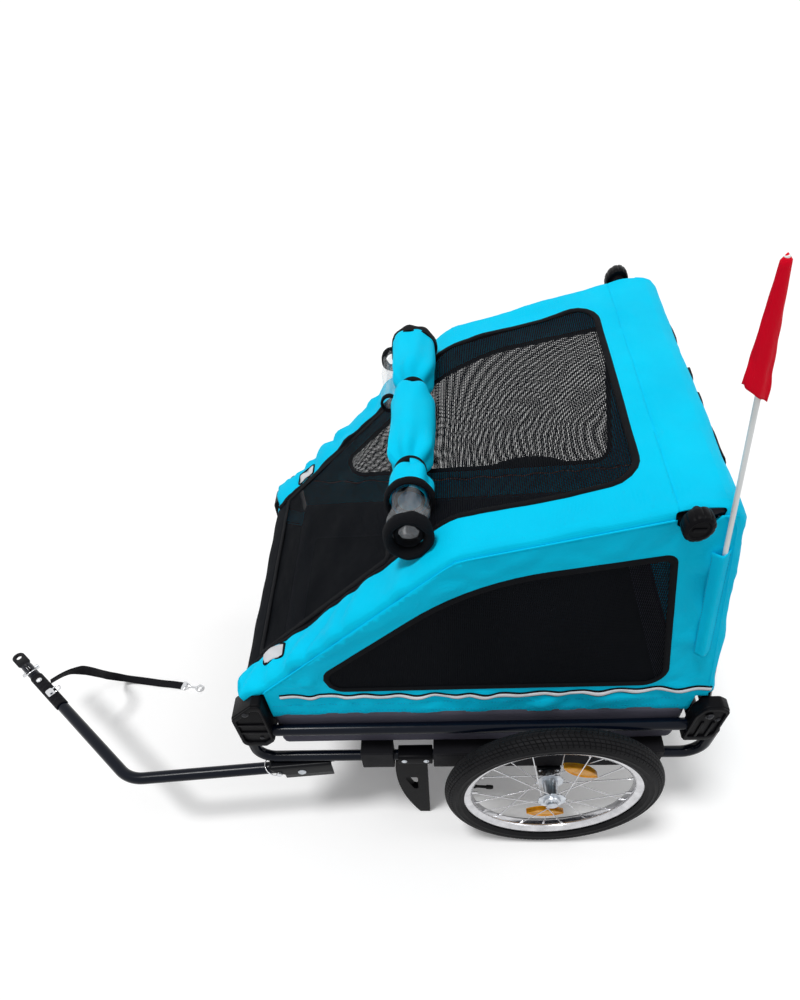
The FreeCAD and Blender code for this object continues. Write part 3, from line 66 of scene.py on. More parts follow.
Point2 = tuple[float, float]
Place2 = Callable[[float, float], Vector]
Place3 = Callable[[float, float, float], Vector]
Radii = Union[float, Sequence[float]]
SIDES = {"left": -1.0, "right": 1.0}
ALONG = Vector((1.0, 0.0, 0.0))
ACROSS = Vector((0.0, 1.0, 0.0))
UP = Vector((0.0, 0.0, 1.0))
TAU = 2.0 * pi
WHITE = (1.0, 1.0, 1.0, 1.0)
MERGE = 1e-6
SHARP = radians(30.0)
STITCH = (0.0034, 0.0009, 0.0009, 1.0)
STITCH_SPACING = 0.0052


def joint(name: str) -> dict:
    """Find a joint of the frame by its name."""
    return next(item for item in frame["joints"] if item["name"] == name)


def joint_place(name: str) -> Vector:
    """Give a joint's place in metres."""
    return Vector(joint(name)["pos_m"])


def joint_axis(name: str) -> Vector:
    """Give the direction of a joint's axis."""
    return Vector(joint(name)["axis"]).normalized()


AXLE = joint_place("left_wheel_spin")


def at(x: float, y: float, z: float) -> Vector:
    """Give a point whose x is measured from the axle line."""
    return Vector((AXLE.x + x, y, z))


# Finishes


class Pattern(Enum):
    """The fine relief that a finish carries."""

    WEAVE = auto()
    GRAIN = auto()
    BRUSHED = auto()
    RIBS = auto()
    FACETS = auto()
    CRINKLE = auto()


class Recipe:
    """The node tree of a material or a sky while it is being put together."""

    def __init__(self, owner: Union[Material, World]) -> None:
        """Give the owner a node tree to work on."""
        owner.use_nodes = True
        self.tree = owner.node_tree

    def shade(self, inputs: dict) -> None:
        """Set or link sockets of a material's own shader."""
        for key, value in inputs.items():
            self.feed(self.tree.nodes["Principled BSDF"].inputs[key], value)

    def node(self, kind: str, inputs: dict, **settings: object) -> Node:
        """Add a node.

        Args:
            kind: The node's type name.
            inputs: Socket name or number to a value, or to a socket to link from.
            settings: Properties of the node itself.

        Returns:
            The new node.
        """
        made = self.tree.nodes.new(kind)
        for key, value in settings.items():
            setattr(made, key, value)
        for key, value in inputs.items():
            self.feed(made.inputs[key], value)
        return made

    def feed(self, socket: NodeSocket, value: object) -> None:
        """Set a socket to a value, or link it to another socket.

        Args:
            socket: The socket to set.
            value: The value, or the socket to link from.
        """
        if isinstance(value, NodeSocket):
            self.tree.links.new(value, socket)
        else:
            socket.default_value = value

    def maths(self, operation: str, *sockets: NodeSocket) -> NodeSocket:
        """Take sockets together by one operation, two at a time.

        Args:
            operation: The operation's name.
            sockets: The values to take together.

        Returns:
            The socket that holds the result.
        """
        total = sockets[0]
        for socket in sockets[1:]:
            total = self.node("ShaderNodeMath", {0: total, 1: socket}, operation=operation).outputs[0]
        return total

    def in_sight(self) -> NodeSocket:
        """Give 1 to the rays that show a thing straight, mirrored or through film, and 0 to the others."""
        path = self.node("ShaderNodeLightPath", {}).outputs
        return self.maths("MAXIMUM", *(path[f"Is {ray} Ray"] for ray in ("Camera", "Glossy", "Transmission")))

    def noise(self, coords: NodeSocket, size: float, detail: float = 3.0) -> NodeSocket:
        """Cloudy noise with features of about a given size in metres."""
        inputs = {"Vector": coords, "Scale": 1.0 / size, "Detail": detail}
        return self.node("ShaderNodeTexNoise", inputs).outputs["Fac"]

    def bands(self, coords: NodeSocket, pitch: float, direction: str) -> NodeSocket:
        """Even ridges along one direction, pitch metres apart."""
        inputs = {"Vector": coords, "Scale": pi / (10.0 * pitch)}
        return self.node("ShaderNodeTexWave", inputs, bands_direction=direction).outputs["Fac"]

    def stretched(self, coords: NodeSocket, scale: Sequence[float]) -> NodeSocket:
        """Coordinates stretched along the axes."""
        return self.node("ShaderNodeMapping", {"Vector": coords, "Scale": scale}).outputs[0]

    def relief(self, pattern: Pattern, coords: NodeSocket, pitch: float) -> NodeSocket:
        """Make the height that a pattern stands for.

        Args:
            pattern: The kind of relief.
            coords: Where it is read.
            pitch: Its spacing in metres.

        Returns:
            The socket that holds the height.
        """
        if pattern is Pattern.WEAVE:
            return self.maths("ADD", *(self.bands(coords, pitch, direction) for direction in "XYZ"))
        if pattern is Pattern.RIBS:
            return self.maths("ADD", self.bands(coords, pitch, "X"), self.noise(coords, pitch / 2.0))
        if pattern is Pattern.FACETS:
            inputs = {"Vector": coords, "Scale": 1.0 / pitch}
            return self.node("ShaderNodeTexVoronoi", inputs, distance="CHEBYCHEV").outputs["Distance"]
        if pattern is Pattern.BRUSHED:
            return self.noise(self.stretched(coords, (1.0, 14.0, 1.0)), pitch)
        return self.noise(coords, pitch, 4.0 if pattern is Pattern.CRINKLE else 2.0)


@dataclass(frozen=True)
class Finish:
    """One surface finish, from which its material is made."""

    MOTTLE_ENDS: ClassVar[Point2] = (0.3, 0.7)
    GLOSS_SPREAD: ClassVar[float] = 0.08
    GLOSSIEST: ClassVar[float] = 0.02
    COAT_ROUGHNESS: ClassVar[float] = 0.12

    name: str
    slot: str
    colour: tuple[float, float, float]
    roughness: float
    pattern: Pattern
    pitch: float = 0.001
    relief: float = 0.0002
    mottle: float = 0.14
    mottle_size: float = 0.11
    metallic: float = 0.0
    coat: float = 0.0
    alpha: float = 1.0
    specular: float = 0.3
    on_uv: bool = False

    def material(self) -> Material:
        """Make the material, or give the one made before.

        Returns:
            The finish's material.
        """
        known = bpy.data.materials.get(self.name)
        if known:
            return known
        made = bpy.data.materials.new(self.name)
        recipe = Recipe(made)
        coords = recipe.node("ShaderNodeTexCoord", {}).outputs["UV" if self.on_uv else "Object"]
        ramp = recipe.node("ShaderNodeValToRGB", {"Fac": recipe.noise(coords, self.mottle_size)})
        shares = (1.0 - self.mottle, 1.0 + self.mottle / 2.0)
        for element, place, share in zip(ramp.color_ramp.elements, self.MOTTLE_ENDS, shares):
            element.position = place
            element.color = (*(min(1.0, part * share) for part in self.colour), 1.0)
        gloss = recipe.node("ShaderNodeMapRange", {
            "Value": recipe.noise(coords, self.mottle_size / 6.0),
            "To Min": max(self.GLOSSIEST, self.roughness - self.GLOSS_SPREAD),
            "To Max": min(1.0, self.roughness + self.GLOSS_SPREAD),
        })
        height = recipe.relief(self.pattern, coords, self.pitch)
        bump = recipe.node("ShaderNodeBump", {"Height": height, "Distance": self.relief, "Strength": 1.0})
        recipe.shade({
            "Base Color": ramp.outputs["Color"],
            "Roughness": gloss.outputs[0],
            "Normal": bump.outputs[0],
            "Metallic": self.metallic,
            "Coat Weight": self.coat,
            "Coat Roughness": self.COAT_ROUGHNESS,
            "Alpha": self.alpha,
            "Specular IOR Level": self.specular,
        })
        return made


BLUE_CLOTH = Finish("cloth_blue", "blue_cloth", (0.0, 0.66, 1.0), 0.6, Pattern.WEAVE, 0.0011, 0.00012,
                    mottle=0.06, specular=0.06)
GREY_CLOTH = Finish("cloth_grey", "grey_cloth", (0.075, 0.073, 0.1), 0.55, Pattern.WEAVE, 0.0012, 0.00012,
                    specular=0.15)
RED_CLOTH = Finish("cloth_red", "red_cloth", (0.86, 0.0, 0.02), 0.5, Pattern.WEAVE, 0.0009, 0.0001,
                   mottle=0.1, specular=0.08)
BLACK_TAPE = Finish("tape_black", "black_webbing", (0.004, 0.0045, 0.006), 0.8, Pattern.WEAVE, 0.0014, 0.0002,
                    specular=0.08)
NET_THREAD = Finish("net_thread", "black_mesh", (0.004, 0.005, 0.007), 0.8, Pattern.GRAIN, 0.0008, 0.0001,
                    specular=0.05)
WEBBING = Finish("webbing", "black_webbing", (0.005, 0.005, 0.007), 0.7, Pattern.RIBS, 0.0018, 0.0003,
                 specular=0.1, on_uv=True)
# Black paint whose faint blue tint is painted reflection: it stands in for the bluish reflected strip along the
# tops of the tubes.
TUBE_PAINT_SKY_REFLECTION = Finish("tube_paint_sky_reflection", "black_tube", (0.002, 0.004, 0.01), 0.2, Pattern.GRAIN, 0.0025, 0.00004,
                    mottle_size=0.06, specular=0.15)
PLATE_PAINT = Finish("plate_paint", "black_tube", (0.003, 0.0035, 0.005), 0.3, Pattern.GRAIN, 0.0016, 0.0001,
                     mottle_size=0.04, specular=0.12)
MOULDED = Finish("moulded_plastic", "black_plastic", (0.003, 0.003, 0.004), 0.4, Pattern.GRAIN, 0.0009,
                 0.00012, mottle_size=0.05, specular=0.06)
SLEEVE_CLOTH = Finish("sleeve_cloth", "black_webbing", (0.006, 0.006, 0.008), 0.6, Pattern.WEAVE, 0.0016,
                      0.0002, specular=0.12)
RUBBER = Finish("tyre_rubber", "tyre", (0.008, 0.008, 0.009), 0.6, Pattern.GRAIN, 0.0012, 0.0002, mottle=0.3,
                mottle_size=0.03, specular=0.12)
STEEL = Finish("bright_steel", "steel", (0.62, 0.62, 0.64), 0.22, Pattern.BRUSHED, 0.004, 0.00003,
               metallic=1.0, mottle=0.2, mottle_size=0.02)
ZINC = Finish("zinc_plate", "steel", (0.55, 0.58, 0.62), 0.3, Pattern.FACETS, 0.0022, 0.00003, metallic=1.0,
              mottle=0.25, mottle_size=0.012)
BLACKENED = Finish("blackened_steel", "steel", (0.035, 0.036, 0.04), 0.35, Pattern.FACETS, 0.0022, 0.00003,
                   metallic=1.0, mottle=0.25, mottle_size=0.012)
CHROME = Finish("chrome_plate", "chrome", (0.72, 0.73, 0.75), 0.1, Pattern.GRAIN, 0.004, 0.00002,
                metallic=1.0)
AMBER = Finish("amber_lens", "amber", (1.0, 0.42, 0.012), 0.2, Pattern.FACETS, 0.0032, 0.0003, coat=0.4,
               mottle=0.2, mottle_size=0.012)
SILVER_TAPE = Finish("silver_tape", "silver_tab", (0.66, 0.67, 0.7), 0.32, Pattern.FACETS, 0.0018, 0.00008,
                     mottle=0.16, mottle_size=0.02, metallic=0.2)
PIPING_WHITE = Finish("piping_white", "silver_tab", (0.78, 0.79, 0.83), 0.45, Pattern.WEAVE, 0.0012, 0.0002)
POLE_WHITE = Finish("pole_white", "white_pole", (0.96, 1.0, 1.0), 0.3, Pattern.GRAIN, 0.002, 0.00004,
                    coat=0.2, mottle=0.04)
# The floor board's near-black is partly painted shade: darkened so the cabin's inside, seen through the nets,
# looks as dark as its shade.
BOARD_WITH_SHADE = Finish("floor_board", "board", (0.01, 0.01, 0.012), 0.8, Pattern.GRAIN, 0.0012, 0.0002, specular=0.1)
FILM = Finish("clear_film", "black_mesh", (0.5, 0.53, 0.56), 0.08, Pattern.CRINKLE, 0.012, 0.0015, coat=1.0,
              alpha=0.17)
THREAD = Finish("stitch_thread", "blue_cloth", (0.004, 0.34, 0.6), 0.7, Pattern.GRAIN, 0.0006, 0.0001)


# Shapes in progress


def mapped_grid(columns: int, rows: int, place: Place2, size: Point2 = (1.0, 1.0)) -> BMesh:
    """Make a grid and move every vertex of it into place.

    Args:
        columns: Cells along the first share.
        rows: Cells along the second share.
        place: Gives the point for two shares from 0 to 1.
        size: Real width and height that the texture coordinates span.

    Returns:
        The shaped grid, with doubles merged.
    """
    shape = bmesh.new()
    bmesh.ops.create_grid(shape, x_segments=columns, y_segments=rows, size=0.5)
    bmesh.ops.translate(shape, vec=(0.5, 0.5, 0.0), verts=shape.verts[:])
    lift(shape, place, size)
    bmesh.ops.remove_doubles(shape, verts=shape.verts[:], dist=MERGE)
    return shape


def lift(shape: BMesh, place: Place2, size: Point2 = (1.0, 1.0)) -> None:
    """Move a flat shape's vertices into place, and keep where they lay as texture coordinates.

    Args:
        shape: The flat shape.
        place: Gives the point for a vertex's two flat coordinates.
        size: What the texture coordinates are scaled by.
    """
    layer = shape.loops.layers.uv.new("UVMap")
    for face in shape.faces:
        for loop in face.loops:
            loop[layer].uv = (loop.vert.co.x * size[0], loop.vert.co.y * size[1])
    for vert in shape.verts:
        vert.co = place(vert.co.x, vert.co.y)


def pairs(points: Sequence) -> Iterable[tuple]:
    """Give each point of a closed outline with the next one."""
    return zip(points, [*points[1:], points[0]])


def turning(outline: Sequence[Point2]) -> float:
    """Twice the signed area of an outline, positive when it runs counter-clockwise."""
    return sum(a[0] * b[1] - b[0] * a[1] for a, b in pairs(outline))


def inside(outline: Sequence[Point2], point: Point2) -> bool:
    """Tell whether a point lies in a convex outline that runs counter-clockwise."""
    return depth(outline, point) >= 0.0


def depth(outline: Sequence[Point2], point: Point2) -> float:
    """Measure how deep a point lies in a convex counter-clockwise outline, less than 0 when outside.

    Args:
        outline: The outline.
        point: The point.

    Returns:
        The distance to the nearest edge.
    """
    return min(
        ((b[0] - a[0]) * (point[1] - a[1]) - (b[1] - a[1]) * (point[0] - a[0])) / dist(a, b)
        for a, b in pairs(outline)
    )


def shrunk(outline: Sequence[Point2], share: float) -> list[Point2]:
    """Scale an outline about its middle."""
    middle = [sum(values) / len(outline) for values in zip(*outline)]
    return [(middle[0] + (x - middle[0]) * share, middle[1] + (z - middle[1]) * share) for x, z in outline]


def fillet(corners: Sequence[Point2], radius: Radii, steps: int = 5) -> list[Point2]:
    """Round the corners of an outline.

    Args:
        corners: The outline's sharp corners.
        radius: One radius, or one for each corner.
        steps: Chords in each rounded corner.

    Returns:
        The rounded outline, counter-clockwise.
    """
    radii = [radius] * len(corners) if isinstance(radius, float) else list(radius)
    if turning(corners) < 0.0:
        corners = list(reversed(corners))
        radii = list(reversed(radii))
    found: list[Point2] = []
    befores = [corners[-1], *corners]
    afters = [*corners[1:], corners[0]]
    for before, corner, after, bend in zip(befores, corners, afters, radii):
        here = Vector(corner)
        back = (Vector(before) - here).normalized()
        ahead = (Vector(after) - here).normalized()
        half = back.angle(ahead) / 2.0
        start = here + back * (bend / tan(half))
        end = here + ahead * (bend / tan(half))
        centre = here + (back + ahead).normalized() * (bend / sin(half))
        for step in range(steps + 1):
            spoke = (start - centre).lerp(end - centre, step / steps).normalized() * bend
            found.append(tuple(centre + spoke))
    return found


def panel(low: Point2, high: Point2, radius: Radii, steps: int = 5) -> list[Point2]:
    """Round the corners of a rectangle, which are counted from the lowest, counter-clockwise."""
    return fillet([low, (high[0], low[1]), high, (low[0], high[1])], radius, steps)


def flat_sheet(low: Point2, high: Point2, cell: float, edge: Sequence[Point2] = (),
               holes: Sequence[Sequence[Point2]] = ()) -> BMesh:
    """Cut a flat sheet of square cells to an outline, with holes.

    Args:
        low: Lowest corner of the sheet before it is cut.
        high: Highest corner of the sheet before it is cut.
        cell: Side of a cell in metres.
        edge: Convex outline to cut to, counter-clockwise, or nothing.
        holes: Convex outlines of holes, counter-clockwise.

    Returns:
        The sheet in the XY plane.
    """
    shape = bmesh.new()
    counts = [max(1, round((b - a) / cell)) for a, b in zip(low, high)]
    bmesh.ops.create_grid(shape, x_segments=counts[0], y_segments=counts[1], size=0.5)
    middle = [(a + b) / 2.0 for a, b in zip(low, high)]
    bmesh.ops.scale(shape, vec=(high[0] - low[0], high[1] - low[1], 1.0), verts=shape.verts[:])
    bmesh.ops.translate(shape, vec=(*middle, 0.0), verts=shape.verts[:])
    for outline, outer in [(edge, True), *[(hole, False) for hole in holes]]:
        for a, b in pairs(outline) if outline else ():
            bmesh.ops.bisect_plane(
                shape,
                geom=[*shape.verts, *shape.edges, *shape.faces],
                dist=MERGE,
                plane_co=(*a, 0.0),
                plane_no=(b[1] - a[1], a[0] - b[0], 0.0),
                clear_outer=outer,
            )
    lost = [
        face for face in shape.faces
        if any(inside(hole, face.calc_center_median().to_2d()) for hole in holes)
    ]
    bmesh.ops.delete(shape, geom=lost, context="FACES")
    return shape


def sheet_size(shape: BMesh) -> Point2:
    """Measure the width and length of a flat sheet that has been cut."""
    used = [vert.co.to_2d() for vert in shape.verts if vert.link_faces]
    return tuple(max(places) - min(places) for places in zip(*used))


def area_of(shape: BMesh) -> float:
    """Measure the area of a shape's faces."""
    return sum(face.calc_area() for face in shape.faces)


def netted(shape: BMesh, thread: float) -> BMesh:
    """Turn a flat sheet's cells into the gaps of a net.

    Args:
        shape: The sheet.
        thread: Half the width of a thread.

    Returns:
        The net, which is the same shape.
    """
    cells = shape.faces[:]
    bmesh.ops.inset_individual(shape, faces=cells, thickness=thread, use_even_offset=True)
    bmesh.ops.delete(shape, geom=cells, context="FACES")
    return shape


def turned(start: Vector, end: Vector) -> Matrix:
    """Give the matrix that turns one direction into another."""
    return start.rotation_difference(end).to_matrix().to_4x4()


def lathe(profile: Sequence[Point2], centre: Vector, axis: Vector = ACROSS, steps: int = 64,
          closed: bool = False) -> BMesh:
    """Turn a profile round an axis.

    Args:
        profile: Points as (place along the axis, radius).
        centre: The point of the axis that profile places are measured from.
        axis: Direction of the axis.
        steps: Faces round the axis.
        closed: Whether the profile is a closed ring.

    Returns:
        The turned shape.
    """
    shape = bmesh.new()
    verts = [shape.verts.new((radius, along, 0.0)) for along, radius in profile]
    ends = pairs(verts) if closed else zip(verts, verts[1:])
    edges = [shape.edges.new(pair) for pair in ends]
    bmesh.ops.spin(shape, geom=[*verts, *edges], cent=(0.0, 0.0, 0.0), axis=ACROSS, dvec=(0.0, 0.0, 0.0),
                   angle=TAU, steps=steps, use_merge=True)
    bmesh.ops.remove_doubles(shape, verts=shape.verts[:], dist=MERGE)
    matrix = Matrix.Translation(centre) @ turned(ACROSS, axis)
    bmesh.ops.transform(shape, matrix=matrix, verts=shape.verts[:])
    return shape


def slab(outline: Sequence[Vector], through: Vector, edge: float, segments: int = 2,
         hole: Sequence[Vector] = ()) -> BMesh:
    """Make a plate with rounded edges.

    Args:
        outline: The plate's outline on one face.
        through: Vector to the other face.
        edge: Radius of the rounded edges.
        segments: Chords in each rounded edge.
        hole: Outline of a hole through the plate, or nothing.

    Returns:
        The plate.
    """
    shape = bmesh.new()
    loops = []
    for points in [outline, hole] if hole else [outline]:
        verts = [shape.verts.new(point) for point in points]
        loops.append([shape.edges.new(pair) for pair in pairs(verts)])
    if hole:
        bmesh.ops.bridge_loops(shape, edges=[*loops[0], *loops[1]])
    else:
        shape.faces.new(shape.verts[:])
    made = bmesh.ops.extrude_face_region(shape, geom=shape.faces[:])
    moved = [item for item in made["geom"] if isinstance(item, bmesh.types.BMVert)]
    bmesh.ops.translate(shape, vec=through, verts=moved)
    bmesh.ops.recalc_face_normals(shape, faces=shape.faces[:])
    return rounded(shape, edge, segments)


def rounded(shape: BMesh, edge: float, segments: int = 2) -> BMesh:
    """Bevel the sharp edges of a shape.

    Args:
        shape: The shape.
        edge: Radius of the rounded edges.
        segments: Chords in each rounded edge.

    Returns:
        The same shape.
    """
    sharp = [item for item in shape.edges if item.calc_face_angle(0.0) > SHARP]
    bmesh.ops.bevel(shape, geom=sharp, offset=edge, offset_type="OFFSET", segments=segments, profile=0.5,
                    affect="EDGES", material=-1, clamp_overlap=True)
    return shape


def joined(*shapes: BMesh) -> BMesh:
    """Put several shapes into one.

    Args:
        shapes: The shapes, which are freed.

    Returns:
        The new shape.
    """
    whole = bmesh.new()
    for shape in shapes:
        mesh = bpy.data.meshes.new("part")
        shape.to_mesh(mesh)
        shape.free()
        whole.from_mesh(mesh)
        bpy.data.meshes.remove(mesh)
    return whole


def wire(points: Sequence[Vector], radius: float, cyclic: bool = False) -> BMesh:
    """Bend a round wire along a smooth line.

    Args:
        points: Control points of the line.
        radius: Half the wire's thickness.
        cyclic: Whether the wire closes on itself.

    Returns:
        The wire's surface.
    """
    mesh = line_mesh(points, radius, cyclic)
    shape = bmesh.new()
    shape.from_mesh(mesh)
    bpy.data.meshes.remove(mesh)
    return shape


def line_mesh(points: Sequence[Vector], radius: float = 0.0, cyclic: bool = False) -> Mesh:
    """Make the mesh of a NURBS line.

    Args:
        points: Control points of the line.
        radius: Half the thickness of a wire along it, or 0 for the bare line.
        cyclic: Whether the line closes on itself.

    Returns:
        The mesh.
    """
    curve = bpy.data.curves.new("line", "CURVE")
    curve.dimensions = "3D"
    curve.resolution_u = 8
    curve.bevel_depth = radius
    curve.bevel_resolution = 3
    curve.use_fill_caps = True
    spline = curve.splines.new("NURBS")
    spline.points.add(len(points) - 1)
    for target, point in zip(spline.points, points):
        target.co = (*point, 1.0)
    spline.order_u = 3
    spline.use_endpoint_u = not cyclic
    spline.use_cyclic_u = cyclic
    holder = bpy.data.objects.new("line", curve)
    mesh = bpy.data.meshes.new_from_object(holder)
    bpy.data.objects.remove(holder)
    bpy.data.curves.remove(curve)
    return mesh


def smooth_points(points: Sequence[Vector]) -> list[Vector]:
    """Read the points of the NURBS line of a route.

    Args:
        points: The route's points, which are the line's control points.

    Returns:
        The points along the line.
    """
    mesh = line_mesh(points)
    found = [vert.co.copy() for vert in mesh.vertices]
    bpy.data.meshes.remove(mesh)
    return found


def band(outline: Sequence[Point2], half: float, thick: float, place: Place3, closed: bool = True) -> BMesh:
    """Lay a flat oval tape along an outline.

    Args:
        outline: The tape's centre line in flat coordinates.
        half: Half the tape's width.
        thick: Half its thickness.
        place: Gives the point for two flat coordinates and a height above the sheet.
        closed: Whether the outline closes on itself.

    Returns:
        The tape.
    """
    count = len(outline) if closed else len(outline) - 1

    def spot(along: float, turn: float) -> Vector:
        """Place a point of the tape.

        Args:
            along: Share of the way along it.
            turn: Share of the way round or across it.

        Returns:
            The point.
        """
        index = round(along * count)
        here = Vector(outline[index % len(outline)])
        before = Vector(outline[(index - 1) % len(outline)]) if closed or index > 0 else here
        after = Vector(outline[(index + 1) % len(outline)]) if closed or index < count else here
        way = (after - before).normalized()
        angle = TAU * turn
        side = Vector((way.y, -way.x)) * (half * cos(angle))
        return place(here.x + side.x, here.y + side.y, thick * sin(angle))

    return mapped_grid(count, 10, spot, (count * half, 4.0 * half))


def stitch_row(points: Sequence[Vector]) -> BMesh:
    """Sew a row of stitches along a line.

    Args:
        points: The line's corners.

    Returns:
        All the stitches as one shape.
    """
    shape = bmesh.new()
    for start, end in zip(points, points[1:]):
        way = end - start
        form = turned(ALONG, way) @ Matrix.Diagonal(STITCH)
        for index in range(max(1, int(way.length / STITCH_SPACING))):
            middle = start + way.normalized() * (STITCH_SPACING * (index + 0.5))
            matrix = Matrix.Translation(middle) @ form
            bmesh.ops.create_icosphere(shape, subdivisions=1, radius=0.5, matrix=matrix)
    return shape


def arc3(start: Point2, middle: Point2, end: Point2, steps: int) -> list[Point2]:
    """Give points of the circular arc through three points.

    Args:
        start: Where it starts.
        middle: A point on its way.
        end: Where it ends.
        steps: Chords along it.

    Returns:
        The points, with both ends.
    """
    (ax, ay), (bx, by), (cx, cy) = start, middle, end
    twice = 2.0 * (ax * (by - cy) + bx * (cy - ay) + cx * (ay - by))
    squares = [x * x + y * y for x, y in (start, middle, end)]
    ux = (squares[0] * (by - cy) + squares[1] * (cy - ay) + squares[2] * (ay - by)) / twice
    uy = (squares[0] * (cx - bx) + squares[1] * (ax - cx) + squares[2] * (bx - ax)) / twice
    first = atan2(ay - uy, ax - ux)
    turn = (atan2(cy - uy, cx - ux) - first + pi) % TAU - pi
    radius = hypot(ax - ux, ay - uy)
    angles = [first + turn * step / steps for step in range(steps + 1)]
    return [(ux + radius * cos(angle), uy + radius * sin(angle)) for angle in angles]


def arc(radius: float, first_deg: float, last_deg: float, steps: int) -> list[Point2]:
    """Give points of a circular arc about the origin, with both ends."""
    angles = [radians(first_deg + (last_deg - first_deg) * step / steps) for step in range(steps + 1)]
    return [(radius * cos(angle), radius * sin(angle)) for angle in angles]


def bezier(points: Sequence[Vector], share: float) -> Vector:
    """Give a point of the Bezier curve with the given control points.

    Args:
        points: The control points.
        share: How far along the curve, from 0 to 1.

    Returns:
        The point.
    """
    while len(points) > 1:
        points = [start.lerp(end, share) for start, end in zip(points, points[1:])]
    return points[0]


def ripple(x: float, y: float, z: float) -> float:
    """Give smooth noise between -1 and 1 for three values."""
    return noise.noise(Vector((x, y, z)))


def ease(share: float) -> float:
    """Go smoothly from 0 to 1, and stay there outside that range."""
    share = min(1.0, max(0.0, share))
    return share * share * (3.0 - 2.0 * share)


CLOTH_ANGLE = 60.0


@dataclass(frozen=True)
class Fold:
    """The fold line of cloth between the base and the folding roof, which is only stored."""

    start: Vector
    end: Vector
    lower: str = "chassis"
    upper: str = "front_frame"


def add(name: str, shape: BMesh, finish: Finish, rides: Union[str, Fold], replaces: Sequence[str] = (),
        angle: float = 38.0, thick: float = 0.0) -> Object:
    """Make a shape a piece of the trailer.

    Args:
        name: The piece's name.
        shape: Its shape, which is freed.
        finish: Its finish.
        rides: The body that it moves with, or a fold, in which case it stays where it is and joins no body.
        replaces: The frame's nodes that it stands for.
        angle: Edges sharper than this many degrees stay sharp.
        thick: Thickness to give a sheet.

    Returns:
        The piece's object.
    """
    bmesh.ops.recalc_face_normals(shape, faces=shape.faces[:])
    mesh = bpy.data.meshes.new(name)
    shape.to_mesh(mesh)
    shape.free()
    mesh.shade_smooth()
    mesh.set_sharp_from_angle(angle=radians(angle))
    mesh.materials.append(finish.material())
    piece = bpy.data.objects.new(name, mesh)
    bpy.context.scene.collection.objects.link(piece)
    if thick:
        wall = piece.modifiers.new("wall", "SOLIDIFY")
        wall.thickness = thick
        wall.offset = 0.0
    if isinstance(rides, Fold):
        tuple(rides.start)
        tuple(rides.end)
        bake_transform(piece)
    else:
        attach(piece, rides)
    if replaces:
        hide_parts(*replaces)
    LOG.info("piece %s, %d faces", name, len(mesh.polygons))
    return piece


def dress(finish: Finish, *nodes: str) -> None:
    """Give nodes of the frame that stay in sight a finish.

    Args:
        finish: The finish.
        nodes: The nodes' names.
    """
    for name in nodes:
        slots = frame["nodes"][name].data.materials
        slots.clear()
        slots.append(finish.material())


# Wheels


